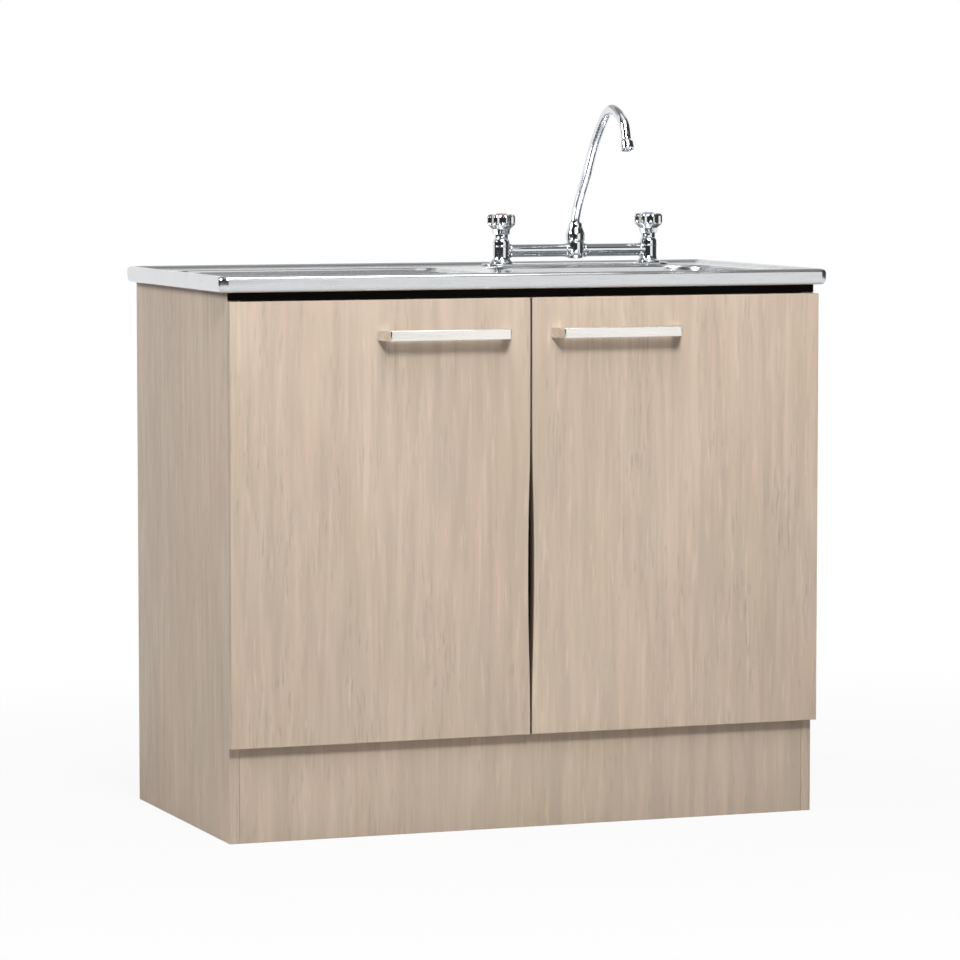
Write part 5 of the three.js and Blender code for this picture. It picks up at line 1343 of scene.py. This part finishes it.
    def make_handle(self, side, place):
        """A lobed grip over a plain skirt, hollow below for the headwork."""
        lobe = self.settings.lobe / MM
        sides = 128
        section = rounded([
            (12.6, 51.2), (14.4, 51.0), (15.2, 54.5), (16.4, 60.0), (19.6, 63.4), (22.6, 66.5),
            (23.0, 70.0), (23.0, 79.5), (21.2, 82.8), (17.0, 84.0), (9.5, 84.0), (9.3, 83.3),
            (0, 83.3)], 1.6, 4)
        hollow = [(5.3, 72.9), (5.3, 57.0), (12.5, 57.0), (12.5, 51.2)]
        # The lobes grow upwards from the skirt and outwards from the cap.
        skirt_top, rise, cap_edge, spread = 60.0, 7.0, 9.0, 8.0
        lobed = (0.0,) * len(hollow) + tuple(
            min(max((height - skirt_top) / rise, 0.0), 1.0)
            * min(max((radius - cap_edge) / spread, 0.0), 1.0)
            for radius, height in section)
        rings = []
        for (radius, height), weight in zip(hollow + section, lobed):
            ring = []
            for x, y in circle(1.0, sides):
                wave = math.cos(self.settings.lobes * math.atan2(y, x))
                swell = math.copysign(abs(wave) ** 0.7, wave)
                size = max(radius + lobe * weight * swell, 0.05) * MM
                ring.append(place + Vector((size * x, size * y, height * MM)))
            rings.append(ring)
        bm = loft(rings, closed=False, caps=True)
        self.finish(bm, "tap_handle_" + side + "_grip", "tap_handle_" + side, 35)

    def make_cap(self, side, place):
        """The coloured index cap on the handle."""
        cap = turned([
            (0, 83.5), (9, 83.5), (9, 84.3), (7.6, 85.0), (4, 85.1), (0, 85.1)], 48, place, 0.5)
        self.finish(
            cap, "tap_index_" + side + "_cap", "tap_index_" + side, 30, side, side + "_cap")

    def make_shank(self, side, place):
        """The threaded shank below the deck."""
        node = "tap_shank_" + side
        bottom, top = ((end.z - place.z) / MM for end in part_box(node))
        pitch, root, crest, bore, plain = 1.6, 9.5, 10.2, 6.0, 14
        threads = int((top - bottom - plain - 2) / pitch)
        profile = [(bore, bottom), (9.3, bottom)]
        for thread in range(threads):
            z = bottom + pitch / 2 + thread * pitch
            profile += [(root, z), (crest, z + pitch / 2)]
        profile += [
            (root, bottom + pitch / 2 + threads * pitch), (crest, top - plain), (crest, top),
            (bore, top)]
        self.finish(turned(profile, 40, place), node + "_thread", node, 20, "brass", "brass")

    def make_backnut(self, side, place):
        """The hexagon nut and washer that clamp the shank under the steel."""
        node = "tap_backnut_" + side
        bottom, top = ((end.z - place.z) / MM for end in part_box(node))
        bore, across = 10.5, 16
        hexagon = [(place.x + x, place.y + y) for x, y in circle(across * MM, 6, math.pi / 2)]
        span = (place.z + bottom * MM, place.z + (top - 1.8) * MM)
        nut = subtract(
            to_object(prism(hexagon, span, "Z", 0.0009, 3), "nut"),
            turned([(0, bottom - 2), (bore, bottom - 2), (bore, top + 2), (0, top + 2)], 48, place))
        washer = [(bore, top - 2), (18, top - 2), (18, top), (bore, top)]
        bm = absorb(to_bmesh(nut), turned(washer, 64, place, 0.4, 3))
        self.finish(bm, node + "_brass", node, 30, "brass", "brass")


# ------------------------------------------------------------------ waste and trap

class SINKUNIT_OT_waste(bpy.types.Operator):
    """Makes the basket strainer, its gasket and nuts, the tailpiece, the trap and the outlet"""
    bl_idname = "sink_unit.waste"
    bl_label = "Make waste and trap"

    def execute(self, context):
        self.settings = context.scene.sink_unit_waste
        self.copies = round_recipe()
        flange = 0.0019                  # from the flange's seat, where heights start, to its rim
        self.place = middle("strainer_body")
        self.place.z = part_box("strainer_body")[1].z - flange
        self.make_strainer()
        self.make_basket()
        self.make_rings()
        self.make_pipes()
        self.make_trap()
        return {"FINISHED"}

    def ends(self, node):
        """The heights of a node's lower and upper end above the waste, in mm."""
        return tuple((end.z - self.place.z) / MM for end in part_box(node))

    def finish(self, bm, name, node, material="white_plastic", slot="white_plastic", smooth=32):
        put_on_body(to_object(bm, name, (MATERIALS[material],), smooth), [node])

    def around(self, bm, piece, count, material="white_plastic"):
        """Adds copies of a piece round the upright axis through the origin."""
        return absorb(bm, self.copies.run(piece, Count=count, Material=MATERIALS[material]))

    def make_strainer(self):
        """The pressed body in the bowl's hole."""
        end = self.ends("strainer_body")[0]
        bm = turned([
            (20.4, end), (22, end), (22, -39.6), (42, -39.6), (42, 0), (44.7, 0), (44.7, 0.3),
            (56, 0.7), (55.4, 1.5), (52, 1.9), (45, 1.9), (41.4, -0.4), (40.4, -3), (40.4, -37.2),
            (39.6, -38), (20.4, -38)], 96, self.place, 0.7)
        self.finish(bm, "strainer_body_pressing", "strainer_body", "steel", "stainless")

    def make_basket(self):
        """A perforated cup with a round grip, on three short feet."""
        stem, top = self.ends("strainer_basket")
        top -= 1.0
        floor = top - 22
        cup = turned([
            (0, floor - 1), (26, floor - 1), (32, floor + 2), (37, top - 1), (39, top),
            (38.6, top + 1), (37.6, top + 0.9), (36, top), (31, floor + 2.5), (25, floor),
            (0, floor)], 96, self.place, 0.8)
        recipe = perforation_recipe()
        hole, punch_length = 0.0016, 0.006
        # Each ring's share of the widest ring's holes, and its radius.
        rings = ((0.5, 0.0185), (1.0, 0.0240), (0.66, 0.0125))
        for share, reach in rings:
            cup = recipe.run(
                cup, Count=int(self.settings.basket_holes * share), Reach=reach, Radius=hole,
                Depth=punch_length, Floor=(
                    self.place.x, self.place.y, self.place.z + (floor - 0.5) * MM),
                Material=MATERIALS["steel"])
        knob = turned([
            (0, floor - 0.4), (3, floor - 0.4), (3, floor + 8), (5.4, floor + 10), (7, floor + 12),
            (7, floor + 14), (5.2, floor + 16), (0, floor + 16)], 48, self.place, 1.0, 5)
        foot = turned([(0, stem), (2, stem), (2, floor - 0.6), (0, floor - 0.6)], 20, (0.024, 0, 0))
        feet = self.around(bmesh.new(), foot, 3, "steel")
        absorb(cup, knob, placed(feet, self.place))
        self.finish(cup, "strainer_basket_cup", "strainer_basket", "steel", "stainless", 35)

    def make_rings(self):
        """The gasket and the lugged lock nut round the body, below the bowl."""
        inside = 42.4
        low, high = self.ends("strainer_gasket")
        ring = [(inside, low), (56, low), (56, high), (inside, high)]
        bm = turned(ring, 96, self.place, 0.7)
        self.finish(bm, "strainer_gasket_ring", "strainer_gasket", "rubber", "rubber")
        low, high = self.ends("strainer_locknut")
        bm = turned([(inside, low), (54, low), (54, high), (inside, high)], 96, soft=0.8)
        lug = slab((0.051, -0.004, low * MM), (0.058, 0.004, high * MM), 0.0009, 3)
        bm = placed(self.around(bm, lug, 6), self.place)
        self.finish(bm, "strainer_locknut_moulding", "strainer_locknut")

    def coupling(self, half):
        """A coupling nut about the origin: a tapered sleeve with rounded grips."""
        bm = turned([
            (22.6, -half), (26.2, -half), (27, -half + 2), (27, half - 4), (25.6, half),
            (22.6, half)], 72, soft=0.8)
        low, high = (-half + 1) * MM, (half - 3) * MM
        grip = slab((0.0245, -0.0024, low), (0.029, 0.0024, high), 0.0011, 3)
        return self.around(bm, grip, self.settings.grips)

    def make_pipes(self):
        """The tailpiece, the outlet pipe and a coupling nut on each."""
        low, high = self.ends("tailpiece")
        bm = turned([
            (18, low), (20, low), (20, high - 4), (22, high - 2), (22, high), (18, high)],
            64, self.place, 0.4, 3)
        self.finish(bm, "tailpiece_pipe", "tailpiece")
        low, high = self.ends("tailpiece_nut")
        for node, axis in (("tailpiece_nut", "Z"), ("outlet_nut", "Y")):
            bm = placed(self.coupling((high - low) / 2), middle(node), axis)
            self.finish(bm, node + "_moulding", node)
        start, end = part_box("outlet_pipe")
        centre = middle("outlet_pipe")
        length = (end.y - start.y) / MM
        bm = turned([(18, 0), (20, 0), (20, length), (18, length)], 64, soft=0.5, steps=3)
        placed(bm, (centre.x, start.y, centre.z), "Y")
        self.finish(bm, "outlet_pipe_tube", "outlet_pipe")

    def make_trap(self):
        """The bottle trap: an upper body with a spigot to the back, and a screwed cup below."""
        low, high = self.ends("trap_body")
        shoulder = high - 22
        bm = turned([
            (28.6, low), (31, low), (31, shoulder - 8), (25.6, shoulder), (25.6, high),
            (20.3, high), (20.3, shoulder - 4), (28.6, shoulder - 12)], 80, self.place, 0.9)
        into_wall = 0.0275               # where the spigot starts, inside the body's wall
        start = Vector((self.place.x, self.place.y + into_wall, middle("outlet_pipe").z))
        length = (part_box("trap_body")[1].y - start.y) / MM
        spigot = turned([(18, 0), (22, 0), (22, length), (18, length)], 64, soft=0.6, steps=3)
        absorb(bm, placed(spigot, start, "Y"))
        self.finish(bm, "trap_body_moulding", "trap_body")
        low, high = self.ends("trap_cup")
        bm = turned([
            (0, low), (22, low), (30, low + 7), (33, low + 16), (33, high - 12), (34, high - 11),
            (34, high), (31.6, high), (31.6, low + 16), (19.6, low + 2.4), (0, low + 2.4)],
            80, soft=1.4, steps=5)
        rib = slab((0.0318, -0.0011, (low + 17) * MM), (0.034, 0.0011, (high - 1) * MM), 0.0006)
        bm = placed(self.around(bm, rib, 28), self.place)
        self.finish(bm, "trap_cup_moulding", "trap_cup")


# ------------------------------------------------------------------ stage

STUDIO = 8.6                     # radius of the studio's walls
CEILING = 10.0


def wall(start, end, low, steps):
    """Strips of an upright cylinder; angles in degrees from the front, positive to the right."""
    rows = []
    for step in range(steps + 1):
        angle = math.radians(start + (end - start) * step / steps)
        x, y = STUDIO * math.sin(angle), -STUDIO * math.cos(angle)
        rows.append(((x, y, low), (x, y, CEILING)))
    return rows


def ceiling(opening, steps):
    """A level ring of strips with a round opening over the middle."""
    around = circle(1.0, steps)
    return [
        ((x * opening, y * opening, CEILING), (x * STUDIO, y * STUDIO, CEILING))
        for x, y in around + around[:1]]


# Studio walls that only reflections see, each with its brightness: in front on both sides of a
# window, high behind the white backdrop, and overhead round an opening.
CARDS = (
    (wall(-125, 8, -0.6, 16), 0.035),
    (wall(8, 42, 5.5, 6), 0.05),
    (wall(42, 120, -0.6, 10), 0.05),
    (wall(135, 225, 4.5, 12), 0.50),
    (ceiling(3.4, 24), 0.25),
)

# Each lamp's place, target, size and the setting with its power.
LAMPS = {
    "key_light": ((-0.50, -3.20, 3.00), (0.0, -0.2, 0.6), 0.8, "key_power"),
    "top_light": ((0.1, -1.50, 3.30), (0.0, -0.2, 0.6), 1.8, "fill_power"),
    "side_light": ((-3.4, 0.10, 2.60), (-0.4, 0.0, 0.6), 1.4, "side_power"),
}

CAMERA_PLACE = (-2.4939, -6.6590, 1.1001)
CAMERA_TURN = math.radians(20.57)        # to the right of straight ahead
CAMERA_TILT = math.radians(4.64)         # downwards


class SINKUNIT_OT_stage(bpy.types.Operator):
    """Makes the floor, the soft lights, the white surroundings and the camera"""
    bl_idname = "sink_unit.stage"
    bl_label = "Make stage"

    def execute(self, context):
        settings = context.scene.sink_unit_stage
        context.scene.view_settings.view_transform = "Standard"
        self.make_world(context.scene, settings)
        self.make_floor()
        for name, (place, target, size, power) in LAMPS.items():
            lamp = bpy.data.lights.new(name, "AREA")
            lamp.shape = "SQUARE"
            lamp.size = size
            lamp.energy = getattr(settings, power)
            self.aim(context.scene, name, lamp, place, Vector(target) - Vector(place))
        for number, (rows, shade) in enumerate(CARDS, 1):
            self.make_card("card_" + str(number), rows, shade)
        camera = bpy.data.cameras.new("camera")
        camera.lens = settings.lens
        camera.sensor_width = 36.0
        camera.clip_end = 100.0
        context.scene.camera = self.aim(context.scene, "camera", camera, CAMERA_PLACE, Vector((
            math.sin(CAMERA_TURN) * math.cos(CAMERA_TILT),
            math.cos(CAMERA_TURN) * math.cos(CAMERA_TILT), -math.sin(CAMERA_TILT))))
        return {"FINISHED"}

    def aim(self, scene, name, data, place, direction):
        """A lamp or camera that looks from its place in a direction."""
        thing = bpy.data.objects.new(name, data)
        scene.collection.objects.link(thing)
        thing.location = place
        thing.rotation_euler = direction.to_track_quat("-Z", "Y").to_euler()
        return thing

    def make_world(self, scene, settings):
        """White to the camera and in reflections; a plain ambient light for everything else."""
        world = bpy.data.worlds.new("studio")
        world.use_nodes = True
        scene.world = world
        nodes = Nodes(world.node_tree)
        background = nodes.tree.nodes["Background"]
        background.inputs["Color"].default_value = (1.0, 1.0, 1.0, 1.0)
        rays = nodes.make("ShaderNodeLightPath").node.outputs
        seen = nodes.maths("MAXIMUM", rays["Is Camera Ray"], rays["Is Transmission Ray"])
        shown = nodes.maths("MAXIMUM", seen, rays["Is Glossy Ray"])
        strength = nodes.stretch(shown, 0.0, 1.0, settings.ambient, 1.0)
        nodes.tree.links.new(strength, background.inputs["Strength"])

    def make_floor(self):
        """A pale disc that fades into the white surroundings and keeps the unit's shadow."""
        rings, sides, reach, whiteness = 24, 96, 3.2, 0.92
        fade_start, fade_end = 0.75, 2.3
        bm = bmesh.new()
        previous = [bm.verts.new((0, 0, 0))]
        for ring in range(1, rings + 1):
            loop = [bm.verts.new((x, y, 0)) for x, y in circle(reach * ring / rings, sides)]
            skin(bm, loop, previous)
            previous = loop
        finish = Finish("floor", (0.55, 0.55, 0.55), 0.9)
        grain = finish.noise(60.0, 3.0, 0.6)
        finish.tree.links.new(
            finish.stretch(grain, 0.3, 0.7, 0.82, 0.95), finish.shader.inputs["Roughness"])
        distance = finish.make(
            "ShaderNodeVectorMath", {0: finish.space((1.0, 1.25, 1.0))}, operation="LENGTH")
        fade = finish.stretch(distance.node.outputs["Value"], fade_start, fade_end, 0.0, 1.0)
        rays = finish.make("ShaderNodeLightPath").node.outputs
        veiled = finish.make("ShaderNodeMixShader", {
            "Fac": finish.maths("MULTIPLY", rays["Is Camera Ray"], whiteness),
            1: finish.shader.outputs["BSDF"], 2: finish.make("ShaderNodeEmission")})
        faded = finish.make("ShaderNodeMixShader", {
            "Fac": fade, 1: veiled, 2: finish.make("ShaderNodeBsdfTransparent")})
        to_object(bm, "floor", (finish.show(faded),))

    def make_card(self, name, rows, shade):
        """A studio card that only reflections see; it casts no shadow and lights nothing."""
        bm = bmesh.new()
        columns = [[bm.verts.new(point) for point in row] for row in rows]
        for first, second in zip(columns, columns[1:]):
            bm.faces.new((first[0], second[0], second[1], first[1]))
        finish = Finish(name, (shade,) * 3, 0.95)
        cloth = finish.noise(6.0, 3.0, 0.6)
        tone = finish.lay((shade * 0.8,) * 3, cloth, 0.3, 0.7, 1.0, (shade * 1.3,) * 3)
        card = to_object(
            bm, name, (finish.show(finish.make("ShaderNodeEmission", {"Color": tone})),))
        card.visible_camera = False
        card.visible_diffuse = False
        card.visible_shadow = False
        card.visible_transmission = False


# ------------------------------------------------------------------ panel and registration

class SINKUNIT_PT_panel(bpy.types.Panel):
    """Sizes, colours and the operators that make each piece"""
    bl_idname = "SINKUNIT_PT_panel"
    bl_label = "Sink unit"
    bl_space_type = "VIEW_3D"
    bl_region_type = "UI"
    bl_category = "Sink unit"

    def draw(self, context):
        for name, group in GROUPS.items():
            box = self.layout.box()
            for field in group.__annotations__:
                box.prop(getattr(context.scene, name), field)
        for operator in OPERATORS:
            self.layout.operator(operator.bl_idname)


OPERATORS = (
    SINKUNIT_OT_stage,
    SINKUNIT_OT_carcass,
    SINKUNIT_OT_doors,
    SINKUNIT_OT_handles,
    SINKUNIT_OT_hinges,
    SINKUNIT_OT_sink_top,
    SINKUNIT_OT_tap,
    SINKUNIT_OT_waste,
)


def register():
    for group in (*GROUPS.values(), *OPERATORS, SINKUNIT_PT_panel):
        bpy.utils.register_class(group)
    for name, group in GROUPS.items():
        setattr(bpy.types.Scene, name, bpy.props.PointerProperty(type=group))


def unregister():
    for name in GROUPS:
        delattr(bpy.types.Scene, name)
    for group in (SINKUNIT_PT_panel, *reversed(OPERATORS), *reversed(GROUPS.values())):
        bpy.utils.unregister_class(group)


def main():
    register()
    make_materials(bpy.context.scene)
    bpy.ops.sink_unit.stage()
    bpy.ops.sink_unit.carcass()
    bpy.ops.sink_unit.doors()
    bpy.ops.sink_unit.handles()
    bpy.ops.sink_unit.hinges()
    bpy.ops.sink_unit.sink_top()
    bpy.ops.sink_unit.tap()
    bpy.ops.sink_unit.waste()


if __name__ == "__main__":
    main()
